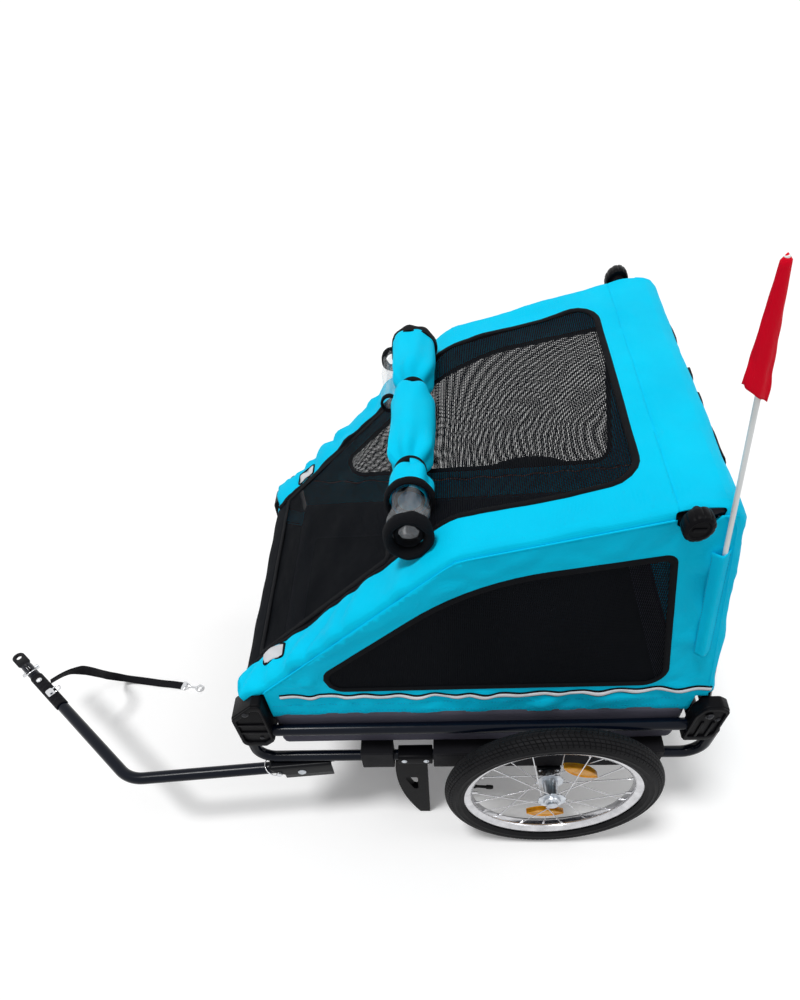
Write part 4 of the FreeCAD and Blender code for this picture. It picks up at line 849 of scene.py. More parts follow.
@dataclass
class Wheel:
    """One spoked wheel with its tyre, rim, hub and reflectors."""

    name: str
    side: float
    radius: float = 0.2
    tyre_half: float = 0.023
    liner: float = 0.0185
    tread_height: float = 0.0014
    tread_gap: float = 0.0009
    tread_reach_deg: float = 66.0
    tread_slant: float = 2.6
    tread_rows: int = 8
    tread_blocks: int = 132
    wall_angles_deg: tuple[float, ...] = (73.0, 80.0, 84.0, 87.0, 104.0, 107.0, 119.0, 131.0)
    ridge_angles_deg: tuple[float, ...] = (84.0, 107.0)
    ridge: float = 0.0009
    rim_inner: float = 0.147
    hub_half: float = 0.026
    flange_radius: float = 0.026
    flange_inset: float = 0.005
    flange_wall: float = 0.0026
    flange_notch: float = 0.0022
    flange_steps: int = 80
    spokes_per_flange: int = 10
    spoke_lean_deg: float = 34.0
    spoke_stagger: float = 0.0017
    nipple_length: float = 0.012
    nipple_sink: float = 0.004
    reflector_angles_deg: tuple[float, ...] = (62.0, 270.0)
    reflector_orbit: float = 0.088
    reflector_half: float = 0.037
    reflector_sag: float = 0.012
    reflector_depth: float = 0.0062
    reflector_rim: float = 0.86
    valve_angle_deg: float = 172.0
    valve_sink: float = 0.002

    def __post_init__(self) -> None:
        """Work out the wheel's centre and the body that it turns with."""
        self.centre = joint_place(f"{self.name}_wheel_spin")
        self.body = f"{self.name}_wheel"

    def build(self) -> None:
        """Make every piece of the wheel."""
        self.build_tyre()
        self.build_rim()
        self.build_nipples()
        self.build_valve()
        self.build_hub()
        self.build_reflectors()
        dress(STEEL, f"spokes_{self.name}", f"hub_bearings_{self.name}")
        dress(ZINC, f"axle_{self.name}")

    def polar(self, radius: float, angle: float, across: float = 0.0) -> Vector:
        """Give a point of the wheel from a radius and an angle above the rearward direction."""
        return self.centre + Vector((radius * cos(angle), across, radius * sin(angle)))

    def build_tyre(self) -> None:
        """Turn the tyre, then raise slanted tread blocks on its crown."""
        base = self.tyre_half - self.tread_height
        crown = self.radius - self.tyre_half
        tread_reach = radians(self.tread_reach_deg)
        treads = [tread_reach * (2.0 * row / self.tread_rows - 1.0) for row in range(self.tread_rows + 1)]
        walls = [radians(degrees) for degrees in self.wall_angles_deg]
        ridges = [radians(degrees) for degrees in self.ridge_angles_deg]
        outer = [*(-angle for angle in reversed(walls)), *treads, *walls]
        profile = []
        for angle in outer:
            reach = base + (self.ridge if abs(angle) in ridges else 0.0)
            profile.append((reach * sin(angle), crown + reach * cos(angle)))
        for angle in reversed(outer):
            profile.append((self.liner * sin(angle), crown + self.liner * cos(angle)))
        shape = lathe(profile, self.centre, steps=self.tread_blocks, closed=True)
        blocks = []
        for face in shape.faces:
            offset = face.calc_center_median() - self.centre
            out = hypot(offset.x, offset.z) - crown
            on_skin = hypot(out, offset.y) > (base + self.liner) / 2.0
            if on_skin and abs(atan2(offset.y, out)) < tread_reach:
                blocks.append(face)
        for vert in shape.verts:
            offset = vert.co - self.centre
            slant = self.tread_slant * abs(offset.y)
            vert.co = self.centre + Matrix.Rotation(slant, 3, "Y") @ offset
        bmesh.ops.recalc_face_normals(shape, faces=shape.faces[:])
        bmesh.ops.inset_individual(shape, faces=blocks, thickness=self.tread_gap, depth=self.tread_height,
                                   use_even_offset=True)
        add(f"tyre_tread_{self.name}", shape, RUBBER, self.body, [f"tyre_{self.name}"], angle=32.0)

    def build_rim(self) -> None:
        """Turn the rim with its rolled lips."""
        half = [(0.0, 0.1495), (0.008, 0.1525), (0.0105, 0.158), (0.0108, 0.1632), (0.0124, 0.165),
                (0.0138, 0.1636), (0.0133, 0.1608), (0.0128, 0.156), (0.0106, 0.1506), (0.006, 0.1477),
                (0.0, self.rim_inner)]
        other = [(-along, radius) for along, radius in reversed(half[1:-1])]
        shape = lathe([*half, *other], self.centre, steps=96, closed=True)
        add(f"rim_rolled_{self.name}", shape, STEEL, self.body, [f"rim_{self.name}"])

    def build_nipples(self) -> None:
        """Set a nipple in the rim for each spoke."""
        nipples = bmesh.new()
        pitch = TAU / self.spokes_per_flange
        lean = radians(self.spoke_lean_deg)
        for flange in (-1.0, 1.0):
            for index in range(self.spokes_per_flange):
                way = 1.0 if index % 2 else -1.0
                angle = pitch * index + (pitch / 2.0 if flange > 0.0 else 0.0) + way * lean
                across = flange * self.spoke_stagger * (way / 2.0 + 1.0)
                place = self.polar(self.rim_inner - self.nipple_sink, angle, across)
                matrix = Matrix.Translation(place) @ turned(UP, place - self.centre)
                bmesh.ops.create_cone(nipples, cap_ends=True, segments=8, radius1=0.0018, radius2=0.0026,
                                      depth=self.nipple_length, matrix=matrix)
        add(f"nipples_{self.name}", nipples, STEEL, self.body)

    def build_valve(self) -> None:
        """Turn the valve's stem, from its foot in the rim towards the hub."""
        angle = radians(self.valve_angle_deg)
        stem = [(0.0, 0.0), (0.001, 0.0044), (0.005, 0.0044), (0.009, 0.0027), (0.0255, 0.003),
                (0.027, 0.0042), (0.035, 0.0042), (0.039, 0.0034), (0.039, 0.0)]
        inward = self.centre - self.polar(1.0, angle)
        valve = lathe(stem, self.polar(self.rim_inner + self.valve_sink, angle), inward, 16)
        add(f"valve_{self.name}", valve, RUBBER, self.body)

    def build_hub(self) -> None:
        """Turn the hub shell, then set its notched spoke flanges and the dust cap rings on it."""
        end = self.hub_half
        half = [(0.0, 0.0128), (0.012, 0.0135), (end - 0.0045, 0.016), (end - 0.003, 0.016), (end, 0.0145),
                (end, 0.0062)]
        shell = [*((-along, radius) for along, radius in reversed(half[1:])), *half]
        shapes = [lathe(shell, self.centre, steps=40, closed=True)]
        for flange in (-1.0, 1.0):
            across = flange * (end - self.flange_inset)
            notched = []
            for step in range(self.flange_steps):
                angle = TAU * step / self.flange_steps
                dip = self.flange_notch * max(0.0, cos(self.spokes_per_flange * angle)) ** 2
                notched.append(self.polar(self.flange_radius - dip, angle, across))
            shapes.append(slab(notched, ACROSS * (-flange * self.flange_wall), 0.0005, 1))
        way = ACROSS * self.side
        for radius, rise in ((0.0125, 0.0006), (0.0105, 0.0012)):
            ring = [(0.0, radius - 0.0014), (rise, radius - 0.001), (rise, radius), (0.0, radius + 0.0006)]
            shapes.append(lathe(ring, self.centre + way * end, way, 36, closed=True))
        add(f"hub_shell_{self.name}", joined(*shapes), ZINC, self.body, [f"hub_{self.name}"])

    def build_reflectors(self) -> None:
        """Mould the lens shaped reflectors, each with a raised rim on both faces."""
        long, sag = self.reflector_half, self.reflector_sag
        top = arc3((-long, 0.0), (0.0, sag), (long, 0.0), 18)
        low = arc3((long, 0.0), (0.0, -sag), (-long, 0.0), 18)
        outline = [*top[:-1], *low[:-1]]
        back = ACROSS * self.reflector_depth
        lenses = []
        for degrees in self.reflector_angles_deg:
            angle = radians(degrees)
            middle = self.polar(self.reflector_orbit, angle)
            way = Vector((sin(angle), 0.0, -cos(angle)))
            out = Vector((cos(angle), 0.0, sin(angle)))
            rims = [[middle + way * x + out * z - back for x, z in shrunk(outline, share)]
                    for share in (1.0, self.reflector_rim)]
            core = [point + back * 0.2 for point in rims[0]]
            lenses += [slab(core, back * 1.6, 0.001), slab(rims[0], back * 2.0, 0.0008, 2, rims[1])]
        nodes = [f"wheel_reflectors_{self.name}"]
        add(f"reflector_lenses_{self.name}", joined(*lenses), AMBER, self.body, nodes)


# Base frame


@dataclass
class Base:
    """The tubes, corner brackets, tub, sleeves, receivers, feet and drawbar channel of the base."""

    rail_half: float = 0.303
    bracket_out: float = 0.318
    bracket_sink: float = 0.0036
    front_ear: float = 0.2678
    rear_ear: float = 0.291
    rib_width: float = 0.005
    clamp_half: float = 0.016
    receiver_half: float = 0.0198
    tub_half: float = 0.2905
    tub_nose: float = -0.5075
    tub_tail: float = 0.2115
    tub_bottom: float = 0.265
    tub_top: float = 0.364
    sleeve_half: float = 0.017
    sleeve_bottom: float = 0.208
    guard_ends: Point2 = (-0.22, 0.198)
    guard_seam: float = 0.2585
    loop_ends: Point2 = (-0.358, -0.2964)
    board_half: float = 0.2866
    channel_half: float = 0.0146
    channel_top: float = 0.2236
    channel_bottom: float = 0.1842
    channel_bend: float = 0.004
    channel_reach: float = 0.062
    channel_cut: float = 0.027
    body: str = "chassis"

    def build(self) -> None:
        """Make every piece of the base."""
        dress(TUBE_PAINT_SKY_REFLECTION, "front_cross_tube", "rear_cross_tube")
        for name, side in SIDES.items():
            dress(TUBE_PAINT_SKY_REFLECTION, f"side_rail_{name}", f"runner_{name}")
            self.build_brackets(name, side)
            self.build_foot(name, side)
            self.build_sleeve(f"guard_{name}", side, [f"wheel_guard_{name}"])
        self.build_front_sleeves()
        self.build_receivers()
        self.build_bolts()
        self.build_tub()
        self.build_channel()

    def side_plate(self, points: Sequence[Point2], near: float, far: float, side: float, edge: float,
                   hole: Sequence[Point2] = ()) -> BMesh:
        """Make a plate that stands along the trailer.

        Args:
            points: Its outline as (place from the axle, height).
            near: Distance of its inner face from the middle plane.
            far: Distance of its outer face.
            side: -1 on the left and 1 on the right.
            edge: Radius of its edges.
            hole: Outline of a hole through it, or nothing.

        Returns:
            The plate.
        """
        outline = [at(x, side * near, z) for x, z in points]
        window = [at(x, side * near, z) for x, z in hole]
        return slab(outline, ACROSS * (side * (far - near)), edge, 3, window)

    def framed(self, points: Sequence[Point2], near: float, side: float) -> BMesh:
        """Mould a bracket's plate with a raised rim round its outer face.

        Args:
            points: Its outline as (place from the axle, height).
            near: Distance of its inner face from the middle plane.
            side: -1 on the left and 1 on the right.

        Returns:
            The plate.
        """
        out, sink = self.bracket_out, self.bracket_sink
        core = self.side_plate(points, near, out - sink, side, 0.0022)
        rim = self.side_plate(shrunk(points, 0.97), out - 2.0 * sink, out, side, 0.0012, shrunk(points, 0.79))
        return joined(core, rim)

    def build_brackets(self, name: str, side: float) -> None:
        """Mould the front and rear corner brackets, each with a raised rim and ribs.

        Args:
            name: The side's name.
            side: -1 on the left and 1 on the right.
        """
        front = fillet([(-0.5752, 0.2962), (-0.53, 0.2962), (-0.512, 0.312), (-0.512, 0.424),
                        (-0.529, 0.424), (-0.5752, 0.385)], [0.014, 0.008, 0.006, 0.006, 0.008, 0.01])
        rear = fillet([(0.216, 0.2962), (0.269, 0.2962), (0.269, 0.384), (0.254, 0.394),
                       (0.227, 0.394), (0.216, 0.37)], [0.006, 0.016, 0.01, 0.01, 0.014, 0.014])
        rib = self.rib_width
        front_ribs = [((-0.57, z), (-0.517, z + rib)) for z in (0.338, 0.362)]
        rear_ribs = [((x, 0.303), (x + rib, 0.352)) for x in (0.233, 0.25)]
        near, far = self.bracket_out - 0.005, self.bracket_out - 0.0006
        for end, outline, ear, ribs in (
            ("front", front, self.front_ear, front_ribs),
            ("rear", rear, self.rear_ear, rear_ribs),
        ):
            outlines = [panel(low, high, 0.001, 2) for low, high in ribs]
            bars = [self.side_plate(points, near, far, side, 0.0008) for points in outlines]
            shape = joined(self.framed(outline, ear, side), *bars)
            add(f"corner_{end}_{name}", shape, MOULDED, self.body, [f"{end}_bracket_{name}"])

    def build_foot(self, name: str, side: float) -> None:
        """Mould the fin shaped foot with its window, and the clamp round the runner.

        Args:
            name: The side's name.
            side: -1 on the left and 1 on the right.
        """
        nose = arc3((-0.294, 0.224), (-0.292, 0.12), (-0.254, 0.0006), 12)
        fin = [*nose, (-0.233, 0.0006), (-0.233, 0.224)]
        window = fillet([(-0.281, 0.158), (-0.254, 0.158), (-0.254, 0.086)], [0.004, 0.004, 0.005], 4)
        if turning(fin) < 0.0:
            fin.reverse()
        blade = self.side_plate(fin, self.rail_half - 0.008, self.rail_half + 0.008, side, 0.0022, window)
        collar = panel((-self.clamp_half, 0.2225), (self.clamp_half, 0.25), 0.006, 4)
        points = [at(-0.288, side * self.rail_half + y, z) for y, z in collar]
        clamp = slab(points, ALONG * 0.066, 0.0018, 2)
        bolts = [dome(at(x, side * (self.rail_half + self.clamp_half), 0.2365), ACROSS * side, 0.0052, 0.0026)
                 for x in (-0.276, -0.234)]
        add(f"foot_fin_{name}", joined(blade, clamp), MOULDED, self.body, [f"parking_foot_{name}"])
        add(f"foot_bolts_{name}", joined(*bolts), ZINC, self.body)

    def sleeve(self, side: float, nose: float, tail: float) -> BMesh:
        """Sew a sleeve round the runner, hanging from the tub, with soft sides.

        Args:
            side: -1 on the left and 1 on the right.
            nose: Place of its front end from the axle.
            tail: Place of its rear end from the axle.

        Returns:
            The sleeve.
        """
        half = self.sleeve_half
        low, high = self.sleeve_bottom, self.tub_bottom + 0.001
        corners = [(-half, high), (-half, low), (half, low), (half, high)]
        outline = fillet(corners, [0.003, 0.012, 0.012, 0.003])
        cells = max(6, round((tail - nose) / 0.02))

        def place(along: float, turn: float) -> Vector:
            """Place a point of the sleeve.

            Args:
                along: Share of the way along it.
                turn: Share of the way round or across it.

            Returns:
                The point.
            """
            y, z = outline[round(turn * len(outline)) % len(outline)]
            x = nose + (tail - nose) * along
            soft = 0.0012 * ripple(x * 30.0, y * 60.0, z * 40.0 + side)
            return at(x, side * self.rail_half + y * (1.0 + soft * 30.0), z + soft)

        shape = mapped_grid(cells, len(outline), place, (tail - nose, 0.15))
        bmesh.ops.holes_fill(shape, edges=shape.edges[:], sides=0)
        return rounded(shape, 0.0014)

    def build_sleeve(self, name: str, side: float, nodes: Sequence[str]) -> None:
        """Make one long guard round a runner, with the seam along its side.

        Args:
            name: The guard's name.
            side: -1 on the left and 1 on the right.
            nodes: The frame's nodes that it stands for.
        """
        nose, tail = self.guard_ends
        add(f"sleeve_{name}", self.sleeve(side, nose, tail), SLEEVE_CLOTH, self.body, nodes)
        y = side * (self.rail_half + self.sleeve_half + 0.0004)
        row = stitch_row([at(x, y, self.guard_seam) for x in (nose + 0.006, tail - 0.006)])
        add(f"seam_{name}", row, BLACK_TAPE, self.body)

    def build_front_sleeves(self) -> None:
        """Make the short loops in front of the feet."""
        loops = [self.sleeve(side, *self.loop_ends) for side in SIDES.values()]
        add("sleeve_front_pair", joined(*loops), SLEEVE_CLOTH, self.body, ["front_sleeves"])

    def build_receivers(self) -> None:
        """Make the axle receivers: a flared block, a collar round the axle and two bolts."""
        shapes = []
        bolts = []
        block = fillet([(-0.017, 0.1802), (0.017, 0.1802), (0.024, 0.2078), (-0.024, 0.2078)], 0.004, 4)
        collar = [(0.0, 0.0066), (0.0, 0.011), (0.003, 0.0118), (0.0055, 0.01), (0.0055, 0.0066)]
        near, far = self.rail_half - self.receiver_half, self.rail_half + self.receiver_half
        for side in SIDES.values():
            way = ACROSS * side
            shapes.append(self.side_plate(block, near, far, side, 0.0016))
            shapes.append(lathe(collar, at(0.0, side * (far - 0.0003), AXLE.z), way, 28, closed=True))
            for x in (-0.0155, 0.0155):
                bolts.append(dome(at(x, side * (far - 0.0002), 0.2015), way, 0.0036, 0.002))
        add("receiver_pair", joined(*shapes), PLATE_PAINT, self.body, ["axle_receivers"])
        add("receiver_bolts", joined(*bolts), ZINC, self.body)

    def build_bolts(self) -> None:
        """Set the domed pivot bolts, the corner rivets and the drawbar's bolt."""
        bolts = []
        for pivot in (joint_place("front_fold"), joint_place("rear_fold")):
            for side in SIDES.values():
                seat = Vector((pivot.x, side * (self.bracket_out - 0.002), pivot.z))
                bolts.append(dome(seat, ACROSS * side, 0.0066, 0.005))
        for side in SIDES.values():
            for x, z in ((-0.534, 0.322), (0.258, 0.358)):
                seat = at(x, side * (self.bracket_out - 0.0032), z)
                bolts.append(dome(seat, ACROSS * side, 0.0042, 0.0026))
        add("pivot_bolts", joined(*bolts), BLACKENED, self.body, ["frame_bolts"])
        pivot, axis = joint_place("drawbar_fold"), joint_axis("drawbar_fold")
        heads = [dome(pivot + axis * (way * 0.016), axis * way, 0.008, 0.0048) for way in (-1.0, 1.0)]
        add("drawbar_bolt", joined(*heads), ZINC, self.body)

    def build_tub(self) -> None:
        """Sew the cloth tub with soft walls, bind its upper edge and lay the floor board in it."""
        shape = bmesh.new()
        bmesh.ops.create_cube(shape, size=1.0)
        size = (self.tub_tail - self.tub_nose, 2.0 * self.tub_half, self.tub_top - self.tub_bottom)
        bmesh.ops.scale(shape, vec=size, verts=shape.verts[:])
        middle = at((self.tub_nose + self.tub_tail) / 2.0, 0.0, (self.tub_top + self.tub_bottom) / 2.0)
        bmesh.ops.translate(shape, vec=middle, verts=shape.verts[:])
        lid = [face for face in shape.faces if face.normal.z > 0.5]
        bmesh.ops.delete(shape, geom=lid, context="FACES_ONLY")
        rounded(shape, 0.012, 3)
        bmesh.ops.subdivide_edges(shape, edges=shape.edges[:], cuts=5, use_grid_fill=True)
        for vert in shape.verts:
            low = ease((self.tub_top - vert.co.z) / 0.05)
            offset = vert.co - middle
            pull = 0.0022 * noise.noise(vert.co * 11.0) - 0.0016
            vert.co.y += copysign(pull * low, offset.y) if abs(offset.y) > 0.2 else 0.0
            vert.co.x += copysign(pull * low, offset.x) if abs(offset.x) > 0.3 else 0.0
        tub = add("tub_cloth", shape, GREY_CLOTH, self.body, ["floor_tub"], thick=0.0016)
        low = (self.tub_nose + 0.004, -self.board_half)
        corners = panel(low, (self.tub_tail - 0.004, self.board_half), 0.012)
        board = slab([at(x, y, self.tub_bottom + 0.0026) for x, y in corners], UP * 0.0046, 0.0012)
        add("floor_panel", board, BOARD_WITH_SHADE, self.body, ["floor_board"])

    def build_channel(self) -> None:
        """Fold the drawbar's channel from plate, with its front lower corners cut away."""
        pivot, axis = joint_place("drawbar_fold"), joint_axis("drawbar_fold")
        way = axis.cross(UP).normalized()
        if way.x > 0.0:
            way = -way
        half, skirt, steps = self.channel_half, self.channel_bottom, 4
        upper = panel((-half, skirt), (half, self.channel_top), self.channel_bend, steps)[2 * (steps + 1):]
        heights = (skirt, 0.197, 0.2095)
        path = [*((half, z) for z in heights), *upper, *((-half, z) for z in reversed(heights))]

        def place(along: float, turn: float) -> Vector:
            """Place a point of the plate.

            Args:
                along: Share of the way along it.
                turn: Share of the way round or across it.

            Returns:
                The point.
            """
            across, z = path[round(turn * (len(path) - 1))]
            reach = self.channel_reach * (2.0 * along - 1.0)
            cut = self.channel_cut * ease((0.215 - z) / 0.02) * ease((reach - 0.02) / 0.042)
            return pivot + way * (reach - cut) + axis * across + UP * (z - pivot.z)

        shape = mapped_grid(24, len(path) - 1, place)
        add("channel_folded", shape, PLATE_PAINT, self.body, ["drawbar_channel"], angle=50.0, thick=0.0028)


def dome(seat: Vector, axis: Vector, radius: float, height: float) -> BMesh:
    """Make a domed bolt head with a flat washer lip.

    Args:
        seat: Middle of the face that it sits on.
        axis: The way that it points.
        radius: Radius of the washer lip.
        height: Height of the dome.

    Returns:
        The bolt head.
    """
    profile = [(-0.001, 0.0), (-0.001, radius), (height * 0.22, radius), (height * 0.26, radius * 0.82),
               (height * 0.62, radius * 0.7), (height * 0.88, radius * 0.42), (height, 0.0)]
    return lathe(profile, seat, axis, 24)


# Drawbar, coupler and safety strap


@dataclass
class Drawbar:
    """The bent drawbar with its pins, the coupler and the safety strap."""

    bar_radius: float = 0.0125
    strap_width: float = 0.022
    strap_wall: float = 0.0015
    band_ends: Point2 = (0.036, 0.16)
    plate_half: float = 0.0149
    plate_wall: float = 0.005
    plate_start: float = 0.0192
    tongue_wall: float = 0.0048
    eye_radius: float = 0.0066
    body: str = "drawbar"

    # The strap's route from the band on the bar to the ground, with x measured from the axle
    strap_route: tuple[tuple[float, float, float], ...] = (
        (-1.0985, -0.077, 0.203),
        (-1.078, -0.048, 0.198),
        (-1.064, -0.014, 0.168),
        (-1.062, 0.02, 0.112),
        (-1.069, 0.051, 0.062),
        (-1.064, 0.071, 0.03),
        (-1.034, 0.08, 0.006),
        (-0.994, 0.076, 0.0016),
        (-0.95, 0.067, 0.0016),
        (-0.916, 0.063, 0.0016),
        (-0.882, 0.056, 0.0016),
    )

    def __post_init__(self) -> None:
        """Find the drawbar's front leg from the coupler's pin and the hitch eye."""
        self.pin = joint_place("coupler_pitch")
        mount = next(item for item in frame["record"]["mounts"] if item["name"] == "hitch_eye")
        self.eye = Vector(mount["pos_m"])
        self.way = (self.eye - self.pin).normalized()
        self.left = Vector((-self.way.y, self.way.x, 0.0))

    def on_bar(self, inset: float, across: float = 0.0, up: float = 0.0) -> Vector:
        """Give a point by the front leg, inset behind the coupler's pin, across to the left and up."""
        return self.pin - self.way * inset + self.left * across + UP * up

    def build(self) -> None:
        """Make every piece of the drawbar."""
        dress(TUBE_PAINT_SKY_REFLECTION, "drawbar_tube")
        self.build_pins()
        self.build_coupler()
        self.build_anchor()
        hook = self.build_hook()
        self.build_strap()

    def ring_pin(self, centre: Vector, axis: Vector, forward: Vector) -> BMesh:
        """Make a cross pin with a domed head and the wire ring that snaps over the tube.

        Args:
            centre: Middle of the pin.
            axis: The way that its head points.
            forward: The way that its ring leans.

        Returns:
            The pin with its ring.
        """
        reach = self.bar_radius + 0.0085
        shank = lathe([(-reach, 0.0), (-reach, 0.003), (-reach + 0.002, 0.0039), (reach - 0.004, 0.0039),
                       (reach - 0.004, 0.0066), (reach - 0.001, 0.006), (reach, 0.0)], centre, axis, 20)
        half = [(reach - 0.002, 0.0, 0.0), (reach + 0.001, 0.01, 0.002), (reach - 0.004, 0.021, 0.01),
                (0.007, 0.026, 0.0165)]
        ring = [*half, *((-across, ahead, up) for across, ahead, up in reversed(half))]
        loop = [centre + axis * across + forward * ahead + UP * up for across, ahead, up in ring]
        return joined(shank, wire(loop, 0.0013))

    def build_pins(self) -> None:
        """Set the lock pin near the channel and the coupler's pin."""
        pivot = joint_place("drawbar_fold")
        low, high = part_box("drawbar_lock_pin")
        middle = (low + high) / 2.0
        centre = Vector((middle.x, middle.y, pivot.z))
        lock = self.ring_pin(centre, joint_axis("drawbar_fold"), (centre - pivot).normalized())
        add("lock_pin_ring", lock, CHROME, self.body, ["drawbar_lock_pin"])
        pin = self.ring_pin(self.pin, self.left, -self.way)
        add("coupler_pin_ring", pin, CHROME, self.body, ["coupler_pin"])

    def build_coupler(self) -> None:
        """Forge the coupler: an upright tongue, and a level plate with the hitch eye."""
        reach = (self.eye - self.pin).length
        wide, start, shoulder = self.plate_half, self.plate_start, self.plate_start + 0.012
        nose = [(reach + x, y) for x, y in arc(wide, 90.0, -90.0, 20)]
        points = [(start, 0.009), (shoulder, wide), *nose, (shoulder, -wide), (start, -0.009)]
        hole = [(reach + x, y) for x, y in arc(self.eye_radius, 0.0, 360.0, 28)[:-1]]
        outlines = [[self.on_bar(-x, y, -self.plate_wall / 2.0) for x, y in line] for line in (points, hole)]
        plate = slab(outlines[0], UP * self.plate_wall, 0.0009, 2, outlines[1])
        side = [*arc(0.0084, 90.0, 270.0, 14), (0.024, -0.004), (0.024, 0.004)]
        edge = [self.on_bar(-x, -self.tongue_wall / 2.0, z) for x, z in side]
        tongue = slab(edge, self.left * self.tongue_wall, 0.0007, 2)
        add("coupler_plate", joined(plate, tongue), PLATE_PAINT, "coupler", ["hitch_coupler"])

    def build_anchor(self) -> None:
        """Lay the strap's end along the top of the bar, with its dome bolt, and clip it down behind."""
        start, end = self.band_ends
        reach = self.bar_radius + 0.0014

        def place(along: float, turn: float) -> Vector:
            """Place a point of the strap's end.

            Args:
                along: Share of the way along it.
                turn: Share of the way round or across it.

            Returns:
                The point.
            """
            angle = radians(75.0) * (2.0 * turn - 1.0)
            rise = reach + 0.0004 * sin(along * 60.0)
            return self.on_bar(start + (end - start) * along, reach * sin(angle), rise * cos(angle))

        strip = mapped_grid(40, 16, place, (end - start, self.strap_width))
        add("strap_band", strip, WEBBING, self.body, ["strap_anchor"], thick=0.002)
        bolt = dome(self.on_bar(0.062, 0.0, reach + 0.0014), UP, 0.0064, 0.0044)
        add("strap_bolt", bolt, CHROME, self.body)
        seat = self.bar_radius + 0.003
        edge = panel((0.104, -0.0085), (0.126, 0.0085), 0.004, 4)
        plate = slab([self.on_bar(x, y, seat + 0.001 - abs(y) * 0.28) for x, y in edge], UP * 0.0016, 0.0005)
        edge = panel((0.108, -0.0045), (0.121, 0.0045), 0.003, 4)
        tongue = slab([self.on_bar(x, y, seat + 0.0024) for x, y in edge], UP * 0.0018, 0.0007)
        loop = [self.on_bar(0.112 + 0.8 * x, -0.015 - y, 0.012) for x, y in arc(0.01, 0.0, 360.0, 10)[:-1]]
        ring = wire(loop, 0.0013, cyclic=True)
        add("strap_buckle", joined(plate, tongue, ring), CHROME, self.body, ["strap_clip"])

    def build_hook(self) -> Object:
        """Cast the snap hook: the crimp on the strap, a slim shank and the hook's eye with its gate.

        Returns:
            The hook's object.
        """
        before, end = (at(*point) for point in self.strap_route[-2:])
        way = (end - before).normalized()
        side = Vector((-way.y, way.x, 0.0))

        def line(*points: Point2, up: float = 0.003) -> list[Vector]:
            """Place points given along and across the strap's end."""
            return [end + way * along + side * across + UP * up for along, across in points]

        edge = line(*panel((-0.006, -0.0125), (0.004, 0.0125), 0.0015, 3), up=-0.0008)
        crimp = slab(edge, UP * 0.0052, 0.0008)
        bail = line((0.002, -0.01), (0.009, -0.007), (0.011, 0.0), (0.009, 0.007), (0.002, 0.01))
        shank = lathe([(0.009, 0.0), (0.009, 0.0026), (0.012, 0.0032), (0.015, 0.002), (0.03, 0.0018),
                       (0.033, 0.003), (0.036, 0.0026), (0.036, 0.0)], end + UP * 0.003, way, 18)
        eye = line((0.034, 0.0), (0.036, -0.0075), (0.044, -0.0095), (0.0515, -0.005), (0.052, 0.003),
                   (0.047, 0.009), (0.04, 0.0088))
        gate = line((0.035, 0.001), (0.0365, 0.006), (0.0415, 0.0086))
        shape = joined(crimp, wire(bail, 0.0016), shank, wire(eye, 0.0022), wire(gate, 0.0015))
        return add("snap_hook_cast", shape, CHROME, self.body, ["snap_hook"])

    def build_strap(self) -> None:
        """Lay the free strap along its route: it turns over once from the bar down to the ground.
        """
        line = smooth_points([at(*point) for point in self.strap_route])
        count = len(line) - 1
        length = sum((b - a).length for a, b in zip(line, line[1:]))
        rest = self.strap_route[-1][2]

        def place(along: float, turn: float) -> Vector:
            """Place a point of the strap, no lower than where its end lies.

            Args:
                along: Share of the way along it.
                turn: Share of the way round or across it.

            Returns:
                The point.
            """
            index = round(along * count)
            ahead = (line[min(count, index + 1)] - line[max(0, index - 1)]).normalized()
            level = ahead.cross(UP).normalized()
            degrees = 60.0 + 30.0 * ease((along - 0.11) / 0.1) + 90.0 * ease((along - 0.36) / 0.24)
            twist = radians(degrees)
            side = level * cos(twist) + level.cross(ahead) * sin(twist)
            point = line[index] + side * (self.strap_width * (turn - 0.5))
            point.z = max(point.z, rest)
            return point

        shape = mapped_grid(count, 4, place, (length, self.strap_width))
        strap = add("strap_webbing", shape, WEBBING, self.body, ["safety_strap"], thick=self.strap_wall)
        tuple(line[0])


# Folding cabin


@dataclass(frozen=True)
class Leg:
    """One stretch of the cabin's outline: straight, or bent downward with a radius."""

    start: Vector
    way: Vector
    length: float
    radius: float = 0.0

    def at(self, along: float) -> tuple[Vector, Vector]:
        """Give the point at a distance along the stretch, and the direction there.

        Args:
            along: The distance from the stretch's start.

        Returns:
            The point and the direction.
        """
        if not self.radius:
            return self.start + self.way * along, self.way
        inward = -outward(self.way)
        angle = along / self.radius
        point = self.start + (self.way * sin(angle) + inward * (1.0 - cos(angle))) * self.radius
        return point, self.way * cos(angle) + inward * sin(angle)


def outward(way: Vector) -> Vector:
    """Give the direction that points out of the cabin's outline where it runs a way."""
    return Vector((-way.z, 0.0, way.x))


